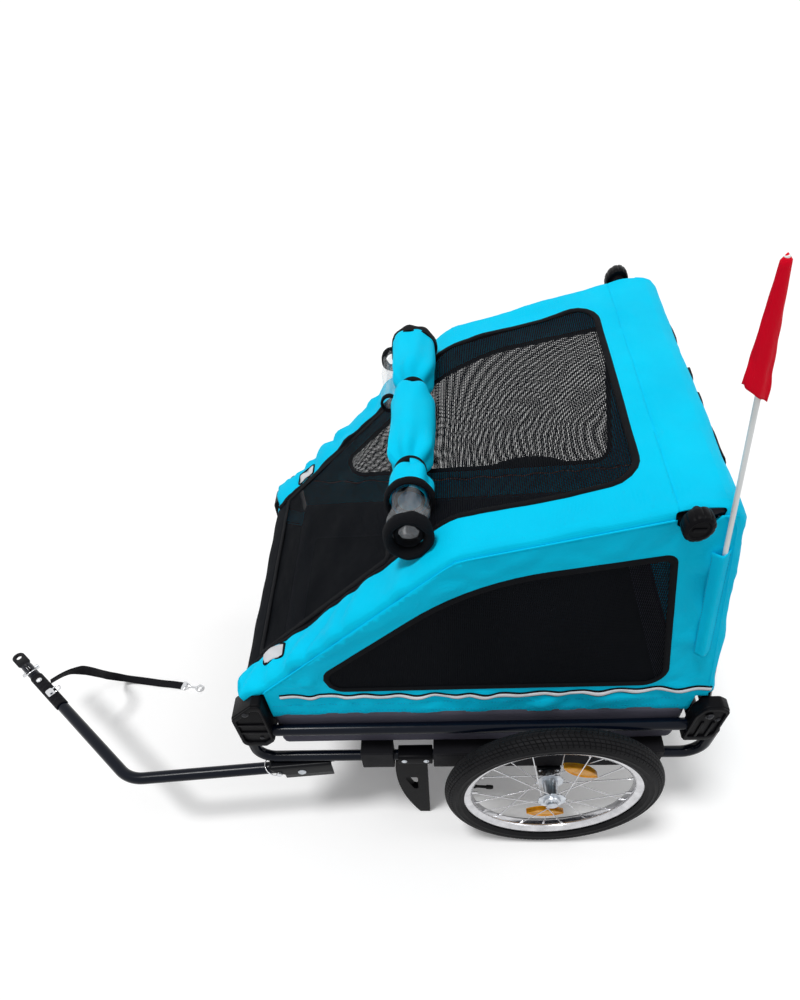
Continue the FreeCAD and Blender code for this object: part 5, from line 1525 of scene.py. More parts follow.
class CabinLine:
    """The cabin's side outline along its tubes, from the front pivot over the roof to the rear pivot."""

    kink = (-0.183, 0.703)
    crown = (0.148, 0.757)
    bends = (0.07, 0.03, 0.028)

    def __init__(self) -> None:
        """Lay straight stretches and bends between the pivots and the corners."""
        knob = joint_place("left_knob_turn")
        self.corners = [
            joint_place("front_fold"),
            at(self.kink[0], 0.0, self.kink[1]),
            Vector((knob.x, 0.0, knob.z)),
            at(self.crown[0], 0.0, self.crown[1]),
            joint_place("rear_fold"),
        ]
        self.legs: list[Leg] = []
        start = self.corners[0]
        for before, corner, after, bend in zip(self.corners, self.corners[1:], self.corners[2:], self.bends):
            way = (corner - before).normalized()
            turn = way.angle(after - corner)
            reach = bend * tan(turn / 2.0)
            self.legs.append(Leg(start, way, (corner - start).length - reach))
            self.legs.append(Leg(corner - way * reach, way, bend * turn, bend))
            start = corner + (after - corner).normalized() * reach
        last = self.corners[-1] - start
        self.legs.append(Leg(start, last.normalized(), last.length))
        self.length = sum(leg.length for leg in self.legs)

    def at(self, along: float, offset: float) -> Vector:
        """Give the point at a distance along the outline, moved outward by offset.

        Args:
            along: The distance from the outline's start.
            offset: How far it moves outward.

        Returns:
            The point.
        """
        for leg in self.legs[:-1]:
            if along <= leg.length:
                break
            along -= leg.length
        else:
            leg = self.legs[-1]
        point, way = leg.at(along)
        return point + outward(way) * offset

    def distance(self, x: float) -> float:
        """Find how far along the outline a place behind the axle lies on the roof or the rear wall.

        Args:
            x: Place from the axle.

        Returns:
            The distance from the outline's start.
        """
        low, high = 0.0, self.length
        for _ in range(40):
            middle = (low + high) / 2.0
            if self.at(middle, 0.0).x < AXLE.x + x:
                low = middle
            else:
                high = middle
        return low

    def inset_corners(self, offset: float) -> list[Point2]:
        """Give the corners of the outline moved outward by offset, as (place from the axle, height).

        Args:
            offset: How far the outline moves outward.

        Returns:
            The corners from front to rear.
        """
        lines = []
        for start, end in zip(self.corners, self.corners[1:]):
            way = (end - start).normalized()
            lines.append((start + outward(way) * offset, way))
        return [meeting(a, b) for a, b in zip(lines, lines[1:])]

    def crossing(self, stretch: int, offset: float, height: float) -> Point2:
        """Find where a straight stretch moved outward by offset reaches a height.

        Args:
            stretch: The stretch, counted from the front.
            offset: How far it moves outward.
            height: The height.

        Returns:
            The point, as (place from the axle, height).
        """
        start, end = self.corners[stretch:stretch + 2]
        way = (end - start).normalized()
        line = (start + outward(way) * offset, way)
        return meeting(line, (UP * height, ALONG))


def meeting(first: tuple[Vector, Vector], second: tuple[Vector, Vector]) -> Point2:
    """Find where two lines in the XZ plane meet, as (place from the axle, height).

    Args:
        first: A point of one line and its direction.
        second: The same of the other line.

    Returns:
        The point.
    """
    (p, u), (q, v) = first, second
    amount = ((q.x - p.x) * v.z - (q.z - p.z) * v.x) / (u.x * v.z - u.z * v.x)
    point = p + u * amount
    return point.x - AXLE.x, point.z


@dataclass
class Cabin:
    """The cloth cabin: side walls, windows, roof, door, rear wall, rolled rain cover and knobs."""

    wall_offset: float = 0.2905
    roof_flat: float = 0.2795
    roof_round: float = 0.0125
    roof_drop: float = 0.009
    cloth_offset: float = 0.0107
    cloth_wall: float = 0.0013
    cell: float = 0.0095
    net_cell: float = 0.0029
    net_thread: float = 0.00068
    sill: float = 0.432
    window_top: float = 0.694
    mesh_half: float = 0.222
    mesh_start: float = -0.02
    mesh_end_x: float = 0.05
    door_start: float = 0.0284
    door_end: float = 0.3688
    roof_start: float = 0.003
    roof_end_x: float = 0.08
    crown_end_x: float = 0.158
    rear_foot: float = 0.404
    rear_lean: float = 0.973
    rear_window_half: float = 0.205
    rear_strap: float = 0.238
    skirt_half: float = 0.262
    binding: float = 0.005
    hem: float = 0.358
    hem_rows: Point2 = (0.3715, 0.3925)
    tuck: float = 0.003
    tub_nose: float = -0.5075
    tub_tail: float = 0.2115
    tub_top: float = 0.363
    piping_start: float = -0.48
    piping_span: float = 0.72
    piping_top: float = 0.4205
    seam_radius: float = 0.0013
    seam_offset: float = 0.2936
    tab_place: Point2 = (0.096, 0.245)
    tab_half: Point2 = (0.022, 0.014)
    pocket_length: float = 0.197
    pocket_half: float = 0.0112
    pocket_rise: float = 0.0092
    pocket_seat: float = -0.2942

    # The cut-out round a knob, from the knob's middle
    knob_cut: tuple[Point2, ...] = (
        (-0.0205, 0.004), (-0.017, -0.012), (-0.005, -0.022), (0.01, -0.022), (0.024, -0.0125),
        (0.0345, 0.006), (0.0345, 0.014), (-0.018, 0.014),
    )

    def __post_init__(self) -> None:
        """Lay the cabin's outline and its fold line."""
        self.line = CabinLine()
        self.fold = Fold(at(0.0, 0.0, 0.313), at(-0.1005, 0.0, 0.7149))
        self.roof_end = self.line.distance(self.roof_end_x)
        self.window = self.window_outline()
        kink, knob, crown = self.line.inset_corners(-0.001)
        nose = self.line.crossing(0, -0.001, self.hem)
        tail = self.line.crossing(3, -0.001, self.hem)
        self.wall_edge = [nose, tail, crown, knob, kink]

    def build(self) -> None:
        """Make every piece of the cabin."""
        dress(TUBE_PAINT_SKY_REFLECTION, "front_arm_left", "front_arm_right", "rear_hoop")
        for name, side in SIDES.items():
            self.build_wall(name, side)
            self.build_side_net(name, side)
            self.build_piping(name, side)
        self.build_roof()
        self.build_apron()
        self.build_door()
        self.build_rear()
        self.build_tabs()
        self.build_pocket()
        for name, side in SIDES.items():
            self.build_knob(name, side)

    # Side walls

    def window_outline(self) -> list[Point2]:
        """Round the side window's corners, set in from the cabin's outline.

        Returns:
            The outline, as (place from the axle, height).
        """
        front = self.line.crossing(0, -0.04, self.sill)
        top_front = self.line.inset_corners(-0.047)[0]
        back, top_rear = (self.line.crossing(3, -0.068, height) for height in (self.sill, self.window_top))
        return fillet([front, back, top_rear, top_front], [0.028, 0.03, 0.012, 0.38], 9)

    def wall_place(self, side: float, x: float, z: float, height: float = 0.0, taut: bool = False) -> Vector:
        """Place a point of a side wall, with the wall's slack and creases.

        Args:
            side: -1 on the left and 1 on the right.
            x: Place from the axle.
            z: Height.
            height: How far it stands off the cloth.
            taut: Whether the point lies in the window, where there are no creases.

        Returns:
            The point.
        """
        seed = 3.0 * side
        slack = sin(pi * ease((z - self.hem) / 0.4)) * sin(pi * ease((x + 0.55) / 0.8))
        reach = self.wall_offset + 0.00225 * slack + height
        if taut:
            return at(x, side * reach, z)
        margin = depth(self.wall_edge, (x, z + 0.05 if z < 0.45 else z))
        crease = 0.0042 * ripple(x * 9.0 + z * 16.0, z * 7.0 - x * 22.0, seed)
        crease += 0.001 * ripple(x * 34.0, z * 30.0, seed + 5.0)
        crease += 0.01 * abs(ripple(x * 15.0 + z * 9.0, z * 19.0 - x * 11.0, seed + 2.0))
        fade = ease((z - self.hem) / 0.03) * ease(margin / 0.04) * ease(-depth(self.window, (x, z)) / 0.035)
        return at(x, side * (reach + crease * fade + self.tuck * (1.0 - ease(margin / 0.03))), z)

    def on_wall(self, side: float, rise: float, taut: bool = False) -> Callable[..., Vector]:
        """Give the place of what lies on a side wall, standing off the cloth by rise."""
        return lambda x, z, up=0.0: self.wall_place(side, x, z, up + rise, taut)

    def knob_hole(self) -> list[Point2]:
        """Outline of the cut-out round a knob, counter-clockwise."""
        pivot = joint_place("left_knob_turn")
        return [(pivot.x - AXLE.x + x, pivot.z + z) for x, z in self.knob_cut]

    def build_wall(self, name: str, side: float) -> None:
        """Cut one side wall with its window and the knob's cut-out, bind them and sew its hem.

        Args:
            name: The side's name.
            side: -1 on the left and 1 on the right.
        """
        low, high = (-0.6, self.hem), (0.3, 0.78)
        below = 0.35
        notches = [
            [(low[0], below), (-0.507, below), (-0.507, 0.428), (low[0], 0.428)],
            [(0.213, below), (high[0], below), (high[0], 0.399), (0.213, 0.399)],
        ]
        shape = flat_sheet(low, high, self.cell, self.wall_edge, [self.window, self.knob_hole(), *notches])
        area, flat = area_of(shape), sheet_size(shape)
        lift(shape, self.on_wall(side, 0.0))
        wall = add(f"wall_{name}", shape, BLUE_CLOTH, self.fold, [f"side_panel_{name}"], CLOTH_ANGLE,
                   self.cloth_wall)
        tape = band(self.window, self.binding, 0.002, self.on_wall(side, 0.0008, taut=True))
        add(f"window_binding_{name}", tape, BLACK_TAPE, self.fold)
        xs = [-0.5 + 0.02 * step for step in range(36)]
        rows = [stitch_row([self.wall_place(side, x, z, 0.0011) for x in xs]) for z in self.hem_rows]
        add(f"hem_stitches_{name}", joined(*rows), THREAD, self.fold)
        self.build_seam(name, side)

    def build_seam(self, name: str, side: float) -> None:
        """Sew the corded seam where a side wall meets the roof and the rear wall, open at the knob.

        Args:
            name: The side's name.
            side: -1 on the left and 1 on the right.
        """
        start, knob_start, knob_end = (self.line.distance(x) for x in (-0.505, 0.076, 0.132))
        end = self.line.length - 0.052
        shapes = []
        for low, high in ((start, knob_start), (knob_end, end)):
            count = max(4, round((high - low) / 0.012))
            points = [self.line.at(low + (high - low) * step / count, -0.0012) for step in range(count + 1)]
            cord = [point + ACROSS * (side * self.seam_offset) for point in points]
            shapes.append(wire(cord, self.seam_radius))
        add(f"seam_cord_{name}", joined(*shapes), BLUE_CLOTH, self.fold)

    def net(self, name: str, edge: Sequence[Point2], place: Place2, rides: Union[str, Fold],
            replaces: Sequence[str] = ()) -> None:
        """Knot a net cut to an outline.

        Args:
            name: The piece's name.
            edge: The net's outline, convex and counter-clockwise.
            place: Gives the point for two flat coordinates.
            rides: The body that it moves with, or a fold, in which case it stays where it is.
            replaces: The frame's nodes that it stands for.
        """
        low, high = ((pick(x for x, _ in edge), pick(y for _, y in edge)) for pick in (min, max))
        shape = netted(flat_sheet(low, high, self.net_cell, edge), self.net_thread)
        area, flat = area_of(shape), sheet_size(shape)
        lift(shape, place)
        piece = add(name, shape, NET_THREAD, rides, replaces)

    def build_side_net(self, name: str, side: float) -> None:
        """Knot the net of one side window.

        Args:
            name: The side's name.
            side: -1 on the left and 1 on the right.
        """
        replaced = ["side_meshes"] if side < 0.0 else []
        place = self.on_wall(side, -0.0004, taut=True)
        self.net(f"side_net_{name}", self.window, place, self.fold, replaced)

    def build_piping(self, name: str, side: float) -> None:
        """Sew the reflective piping, pale between black edges, along the seam above the hem.

        Args:
            name: The side's name.
            side: -1 on the left and 1 on the right.
        """
        line = []
        for step in range(143):
            x = self.piping_start + 0.005 * step
            sag = 0.01 * sin(pi * (x - self.piping_start) / self.piping_span)
            wave = 0.0022 * sin(x * 105.0 + side) + 0.0016 * ripple(x * 24.0, side, 0.0)
            line.append((x, self.piping_top - sag + wave))
        edge = band(line, 0.0062, 0.0018, self.on_wall(side, 0.001), closed=False)
        add(f"piping_edge_{name}", edge, BLACK_TAPE, self.fold)
        pale = band(line, 0.0036, 0.0026, self.on_wall(side, 0.0016), closed=False)
        add(f"piping_{name}", pale, PIPING_WHITE, self.fold)

    # Roof, door and rear wall

    def roof_place(self, along: float, across: float, height: float = 0.0) -> Vector:
        """Place a point of the roof or rear wall cloth, which turns over the side edges.

        Args:
            along: Distance along the cabin's outline.
            across: Distance across the cloth from the middle plane.
            height: How far it stands off the cloth.

        Returns:
            The point.
        """
        side = copysign(1.0, across)
        reach = abs(across)
        turn = min(pi / 2.0, max(0.0, (reach - self.roof_flat) / self.roof_round))
        drop = max(0.0, reach - self.roof_flat - self.roof_round * pi / 2.0)
        sink = self.roof_round * (1.0 - cos(turn)) + drop
        y = min(reach, self.roof_flat) + (self.roof_round + height) * sin(turn)
        soft = 0.0034 * ripple(along * 13.0, across * 11.0, 9.0)
        soft += 0.0012 * ripple(along * 44.0 + across * 12.0, across * 20.0, 2.0)
        soft *= 0.25 + 0.75 * cos(turn)
        on_slope = ease((reach - 0.205) / 0.04) * (1.0 - ease((along - 0.3) / 0.16))
        soft += 0.017 * on_slope * abs(ripple(along * 21.0 + reach * 12.0, across * 10.0, 4.0))
        soft += 0.01 * (1.0 - ease(along / 0.07)) * ease((reach - 0.215) / 0.05)
        offset = self.cloth_offset - sink + soft + height * cos(turn)
        return self.line.at(along, offset) + ACROSS * (side * y)

    def roof_reach(self) -> float:
        """Half width of the flat roof cloth, with what turns over the edges."""
        return self.roof_flat + self.roof_round * pi / 2.0 + self.roof_drop

    def on_roof(self, rise: float) -> Callable[..., Vector]:
        """Give the place of what lies on the roof or the rear wall, standing off the cloth by rise."""
        return lambda along, across, up=0.0: self.roof_place(along, across, up + rise)

    def opening(self) -> list[Point2]:
        """Outline of the roof's mesh opening, as (distance along, distance across)."""
        low, high = (self.mesh_start, -self.mesh_half), (self.line.distance(self.mesh_end_x), self.mesh_half)
        return panel(low, high, [0.004, 0.045, 0.045, 0.004], 6)

    def edge_cuts(self, start: float, end: float) -> list[list[Point2]]:
        """Cut-outs round the knobs in the cloth's turned edges, between two distances along the cabin."""
        near, far = self.roof_flat + 0.011, self.roof_reach() + 0.004
        return [panel((start, low), (end, high), 0.003, 3) for low, high in ((-far, -near), (near, far))]

    def build_roof(self) -> None:
        """Cut the roof cloth round its long mesh opening, bind it and stretch the roof net."""
        half = self.roof_reach()
        opening = self.opening()
        cuts = self.edge_cuts(self.line.distance(0.0765), self.roof_end + 0.012)
        shape = flat_sheet((self.roof_start, -half), (self.roof_end, half), self.cell, (), [opening, *cuts])
        area = area_of(shape)
        lift(shape, self.roof_place)
        roof = add("roof_cloth", shape, BLUE_CLOTH, "front_frame", ["roof_panel"], CLOTH_ANGLE,
                   self.cloth_wall)
        line = [point for point in opening if point[0] > 0.0]
        turn = max(range(len(line)), key=lambda index: dist(line[index], line[index - 1]))
        run = [(0.004, line[turn][1]), *line[turn:], *line[:turn], (0.004, line[turn - 1][1])]
        tape = band(divided(run, 0.012), self.binding, 0.0018, self.on_roof(0.0008), closed=False)
        add("roof_binding", tape, BLACK_TAPE, "front_frame")
        start = self.door_end + 0.0032
        half = self.mesh_half
        edge = [(start, -half), *(point for point in opening if point[0] > start), (start, half)]
        self.net("roof_net", edge, self.on_roof(-0.0006), "front_frame", ["roof_mesh"])
        line = [(start + 0.008, t) for t in (-0.22, -0.11, 0.0, 0.11, 0.22)]
        tie = band(line, 0.009, 0.0014, self.on_roof(0.0006), closed=False)
        add("roof_crossband", tie, BLACK_TAPE, "front_frame")

    def hang(self, name: str, line: Sequence[Vector], ends: Point2, finish: Finish, fold: Fold,
             cells: tuple[int, int], slack: tuple[float, float, float, float]) -> None:
        """Hang a strip of cloth down to the tub.

        Args:
            name: The piece's name.
            line: Control points of its curve, from its upper edge to the tub.
            ends: Where it starts and ends across the trailer.
            finish: Its finish.
            fold: The fold that it is given; the strip stays where it is.
            cells: Cells down it and across it.
            slack: How far it sags along the trailer, how often across and down, and the sag's seed.
        """
        low, width = ends[0], ends[1] - ends[0]
        sag, across_often, down_often, seed = slack

        def place(down: float, across: float) -> Vector:
            """Place a point of the strip.

            Args:
                down: Share of the way down.
                across: Share of the width.

            Returns:
                The point.
            """
            y = low + width * across
            soft = sag * ripple(y * across_often, down * down_often, seed)
            return bezier(line, down) + Vector((soft * sin(pi * down), y, 0.0))

        length = sum((end - start).length for start, end in zip(line, line[1:]))
        shape = mapped_grid(*cells, place, (length, width))
        area = area_of(shape)
        piece = add(name, shape, finish, fold, thick=self.cloth_wall)

    def build_apron(self) -> None:
        """Close the front below the door, round to the tub: dark in the middle and blue outside."""
        line = [
            self.line.at(self.door_start + 0.004, self.cloth_offset - 0.0012),
            self.line.at(-0.006, self.cloth_offset),
            self.line.at(-0.046, self.cloth_offset),
            at(self.tub_nose - 0.0014, 0.0, self.tub_top),
        ]
        fold = Fold(line[-1], line[0])
        for name, low, high, finish in (
            ("apron_net", -0.226, 0.226, NET_THREAD),
            ("apron_left", -0.2655, -0.22, BLUE_CLOTH),
            ("apron_right", 0.22, 0.2655, BLUE_CLOTH),
        ):
            cells = (18, max(6, round((high - low) / 0.008)))
            self.hang(name, line, (low, high), finish, fold, cells, (-0.002, 16.0, 3.0, 7.0))

    def build_door(self) -> None:
        """Stretch the door's net in its bound frame, with a zip down each side."""
        gap = 0.001
        half, start, end = self.mesh_half - gap, self.door_start, self.door_end
        edge = panel((start + gap, -half), (end, half), [0.012, 0.004, 0.004, 0.012])
        self.net("door_net", edge, self.on_roof(0.001), "front_flap", ["front_door"])
        inner = panel((start + 0.012, -half + 0.0105), (end - 0.009, half - 0.0105), 0.01)
        tape = band(inner, 0.0062, 0.0014, self.on_roof(0.0016))
        teeth = bmesh.new()
        form = Matrix.Rotation(radians(-40.0), 4, "Y") @ Matrix.Diagonal((0.0022, 0.0042, 0.0016, 1.0))
        for side in (-1.0, 1.0):
            for step in range(80):
                spot = self.roof_place(start + 0.018 + 0.004 * step, side * (half - 0.0035), 0.003)
                matrix = Matrix.Translation(spot) @ form
                bmesh.ops.create_icosphere(teeth, subdivisions=1, radius=0.5, matrix=matrix)
        add("door_frame", joined(tape, teeth), BLACK_TAPE, "front_flap")

    def build_rear(self) -> None:
        """Cut the rear wall from the roof's rear edge to its foot, with its window, straps and buckles."""
        half = self.roof_reach()
        foot = self.line.length - (self.rear_foot - self.line.corners[-1].z) / self.rear_lean
        start = self.roof_end - 0.006
        crown_end = self.line.distance(self.crown_end_x)
        wide = self.rear_window_half
        window = panel((crown_end + 0.066, -wide), (foot - 0.13, wide), 0.03)
        cuts = self.edge_cuts(start - 0.012, self.line.distance(0.1312))
        shape = flat_sheet((start, -half), (foot, half), self.cell, (), [window, *cuts])
        area = area_of(shape)
        lift(shape, lambda s, t: self.roof_place(s, t, -0.0018 * (1.0 - ease((s - start) / 0.012))))
        rear = add("rear_cloth", shape, BLUE_CLOTH, self.fold, ["rear_panel"], CLOTH_ANGLE, self.cloth_wall)
        tape = band(window, self.binding, 0.0016, self.on_roof(0.0006))
        add("rear_binding", tape, BLACK_TAPE, self.fold)
        self.net("rear_net", window, self.on_roof(-0.0006), self.fold)
        line = [(foot - 0.006, half * share) for share in (-0.99, -0.6, -0.3, 0.0, 0.3, 0.6, 0.99)]
        hem = band(line, 0.007, 0.0016, self.on_roof(0.0004), closed=False)
        add("rear_hem", hem, BLACK_TAPE, self.fold)
        straps, buckles = [], []
        for t in (-self.rear_strap, self.rear_strap):
            line = [(crown_end + 0.03 + 0.03 * step, t) for step in range(8)]
            straps.append(band(line, 0.01, 0.0012, self.on_roof(0.0024), closed=False))
            buckles.append(self.buckle(crown_end + 0.13, t))
        add("rear_straps", joined(*straps), BLACK_TAPE, self.fold)
        add("rear_buckles", joined(*buckles), MOULDED, self.fold)
        self.build_rear_flap(crown_end + 0.016)
        self.build_rear_skirt(foot)

    def build_rear_skirt(self, foot: float) -> None:
        """Close the gap between the rear wall's foot and the tub, between the hoop's legs.

        Args:
            foot: Where the rear wall ends along the outline.
        """
        top = self.roof_place(foot - 0.004, 0.0, -0.0018)
        low = at(self.tub_tail + 0.0012, 0.0, self.tub_top)
        line = [top, Vector((top.x + 0.002, 0.0, low.z + 0.01)), low]
        ends = (-self.skirt_half, self.skirt_half)
        self.hang("rear_skirt", line, ends, BLUE_CLOTH, self.fold, (8, 66), (0.0016, 14.0, 2.0, 3.0))

    def build_rear_flap(self, along: float) -> None:
        """Roll up the rear window's cover in two lengths below the crown, tied by a strap with its buckle.

        Args:
            along: Distance of the rolls along the cabin's outline.
        """
        shapes = []
        for low, high, rise in ((-0.13, 0.03, 0.0105), (0.155, 0.238, 0.0085)):
            count = round((high - low) / 0.012)
            line = [(along, low + (high - low) * step / count) for step in range(count + 1)]

            def lumpy(s: float, t: float, up: float, rise: float = rise) -> Vector:
                """Place a point of a roll."""
                return self.roof_place(s, t, up * (1.0 + 0.25 * sin(t * 70.0)) + rise)

            shapes.append(band(line, 0.015, 0.0062, lumpy, closed=False))
        strap = 0.075
        tie = [(along, 0.02 + 0.02 * step) for step in range(9)]
        tail = [(along + 0.01 * step, strap) for step in range(8)]
        for line, half in ((tie, 0.005), (tail, 0.007)):
            shapes.append(band(line, half, 0.0012, self.on_roof(0.006), closed=False))
        add("rear_flap_rolls", joined(*shapes), BLACK_TAPE, self.fold)
        add("rear_flap_buckle", self.buckle(along, strap, 0.008), MOULDED, self.fold)

    def buckle(self, along: float, across: float, height: float = 0.0034) -> BMesh:
        """Mould a side release buckle on a strap of the rear wall.

        Args:
            along: Distance of its middle along the cabin's outline.
            across: Distance of its middle across the cloth.
            height: How far it stands off the cloth.

        Returns:
            The buckle.
        """
        outline = fillet([(-0.02, -0.015), (0.02, -0.015), (0.023, 0.0), (0.02, 0.015), (-0.02, 0.015)],
                         [0.004, 0.004, 0.006, 0.004, 0.004], 3)
        out = (self.roof_place(along, across, 0.01) - self.roof_place(along, across)).normalized()
        sides = [[self.roof_place(along + s, across + t, height) for s, t in shrunk(outline, share)]
                 for share in (1.0, 0.62)]
        return joined(slab(sides[0], out * 0.006, 0.0014), slab(sides[1], out * 0.0074, 0.0012))

    # Details on the cloth

    def build_tabs(self) -> None:
        """Sew the reflective tabs with black borders beside the door."""
        for name, side in SIDES.items():
            (along, across), (long, wide) = self.tab_place, self.tab_half
            low, high = (along - long, side * across - wide), (along + long, side * across + wide)
            outline = panel(low, high, 0.004, 4)
            sheet = flat_sheet(low, high, 0.004, outline)
            lift(sheet, self.on_roof(0.0018))
            nodes = ["front_tabs"] if side < 0.0 else []
            add(f"tab_{name}", sheet, SILVER_TAPE, "front_frame", nodes, thick=0.0012)
            border = band(outline, 0.0022, 0.0014, self.on_roof(0.002))
            add(f"tab_border_{name}", border, BLACK_TAPE, "front_frame")

    def build_pocket(self) -> None:
        """Sew the flag's pocket: a narrow raised strip with two rows of stitches."""
        way = joint_axis("flag_lift")
        low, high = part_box("flag_pole")
        top = Vector((low.x, (low.y + high.y) / 2.0, high.z))
        foot = top - way * ((top.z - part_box("flag_pocket")[0].z) / way.z)
        foot.y = self.pocket_seat
        across = Vector((way.z, 0.0, -way.x))
        half, length = self.pocket_half, self.pocket_length

        def place(along: float, turn: float) -> Vector:
            """Place a point of the strip.

            Args:
                along: Share of the way along it.
                turn: Share of the way round or across it.

            Returns:
                The point.
            """
            share = 2.0 * turn - 1.0
            bulge = 0.5 + 0.5 * cos(pi * min(1.0, abs(share) / 0.92))
            soft = 0.0006 * ripple(along * 12.0, share * 2.0, 1.0)
            out = self.pocket_rise * bulge ** 0.7 + soft + 0.0006
            return foot + way * (length * along) + across * (half * share) - ACROSS * out

        shape = mapped_grid(40, 22, place, (length, 2.0 * half))
        add("pocket_strip", shape, BLUE_CLOTH, "rear_frame", ["flag_pocket"], CLOTH_ANGLE, 0.0011)
        rows = [stitch_row([foot + way * along + across * x - ACROSS * 0.0014
                            for along in (0.004, length - 0.004)])
                for x in (-0.0106, 0.0106)]
        add("pocket_stitches", joined(*rows), THREAD, "rear_frame")

    def build_knob(self, name: str, side: float) -> None:
        """Turn one hand knob with grip grooves and a sunk face, and set the black hinge plate behind it.

        Args:
            name: The side's name.
            side: -1 on the left and 1 on the right.
        """
        centre = joint_place(f"{name}_knob_turn")
        way = ACROSS * side
        seat = Vector((centre.x, side * 0.2974, centre.z))
        profile = [(0.0, 0.0), (0.0, 0.0165), (0.002, 0.018), (0.007, 0.0185), (0.012, 0.0186),
                   (0.0195, 0.0178), (0.0215, 0.016), (0.0225, 0.013), (0.0218, 0.0118), (0.0205, 0.011),
                   (0.0205, 0.0)]
        head = lathe(profile, seat, way, 96)
        for vert in head.verts:
            spoke = vert.co - seat
            if hypot(spoke.x, spoke.z) > 0.014:
                dip = 0.05 * max(0.0, cos(12.0 * atan2(spoke.z, spoke.x))) ** 3
                vert.co = seat + Vector((spoke.x * (1.0 - dip), spoke.y, spoke.z * (1.0 - dip)))
        profile = [(0.0, 0.0), (0.0, 0.0039), (0.0226, 0.0039), (0.0226, 0.009), (0.031, 0.011),
                   (0.031, 0.0)]
        stud = lathe(profile, Vector((centre.x, side * 0.2674, centre.z)), way, 28)
        mark = panel((-0.008, -0.0024), (0.008, 0.0024), 0.001, 3)
        points = [Vector((centre.x + x, side * 0.3176, centre.z + z)) for x, z in mark]
        shape = joined(head, stud, slab(points, way * 0.0016, 0.0005))
        add(f"knob_turned_{name}", shape, MOULDED, f"{name}_knob", [f"lock_knob_{name}"])
        ceiling = self.line.corners[2].z + 0.004
        outline = [(x, min(z, ceiling)) for x, z in shrunk(self.knob_hole(), 1.14)]
        plate = slab([at(x, side * 0.282, z) for x, z in outline], way * 0.0046, 0.001)
        add(f"hinge_plate_{name}", plate, MOULDED, "rear_frame")


def divided(points: Sequence[Point2], step: float) -> list[Point2]:
    """Add points to the long runs of an outline.

    Args:
        points: The outline's points.
        step: About how far apart the points come to lie.

    Returns:
        All the points.
    """
    found: list[Point2] = [points[0]]
    for start, end in zip(points, points[1:]):
        count = max(1, round(dist(start, end) / step))
        found += [tuple(Vector(start).lerp(Vector(end), part / count)) for part in range(1, count + 1)]
    return found


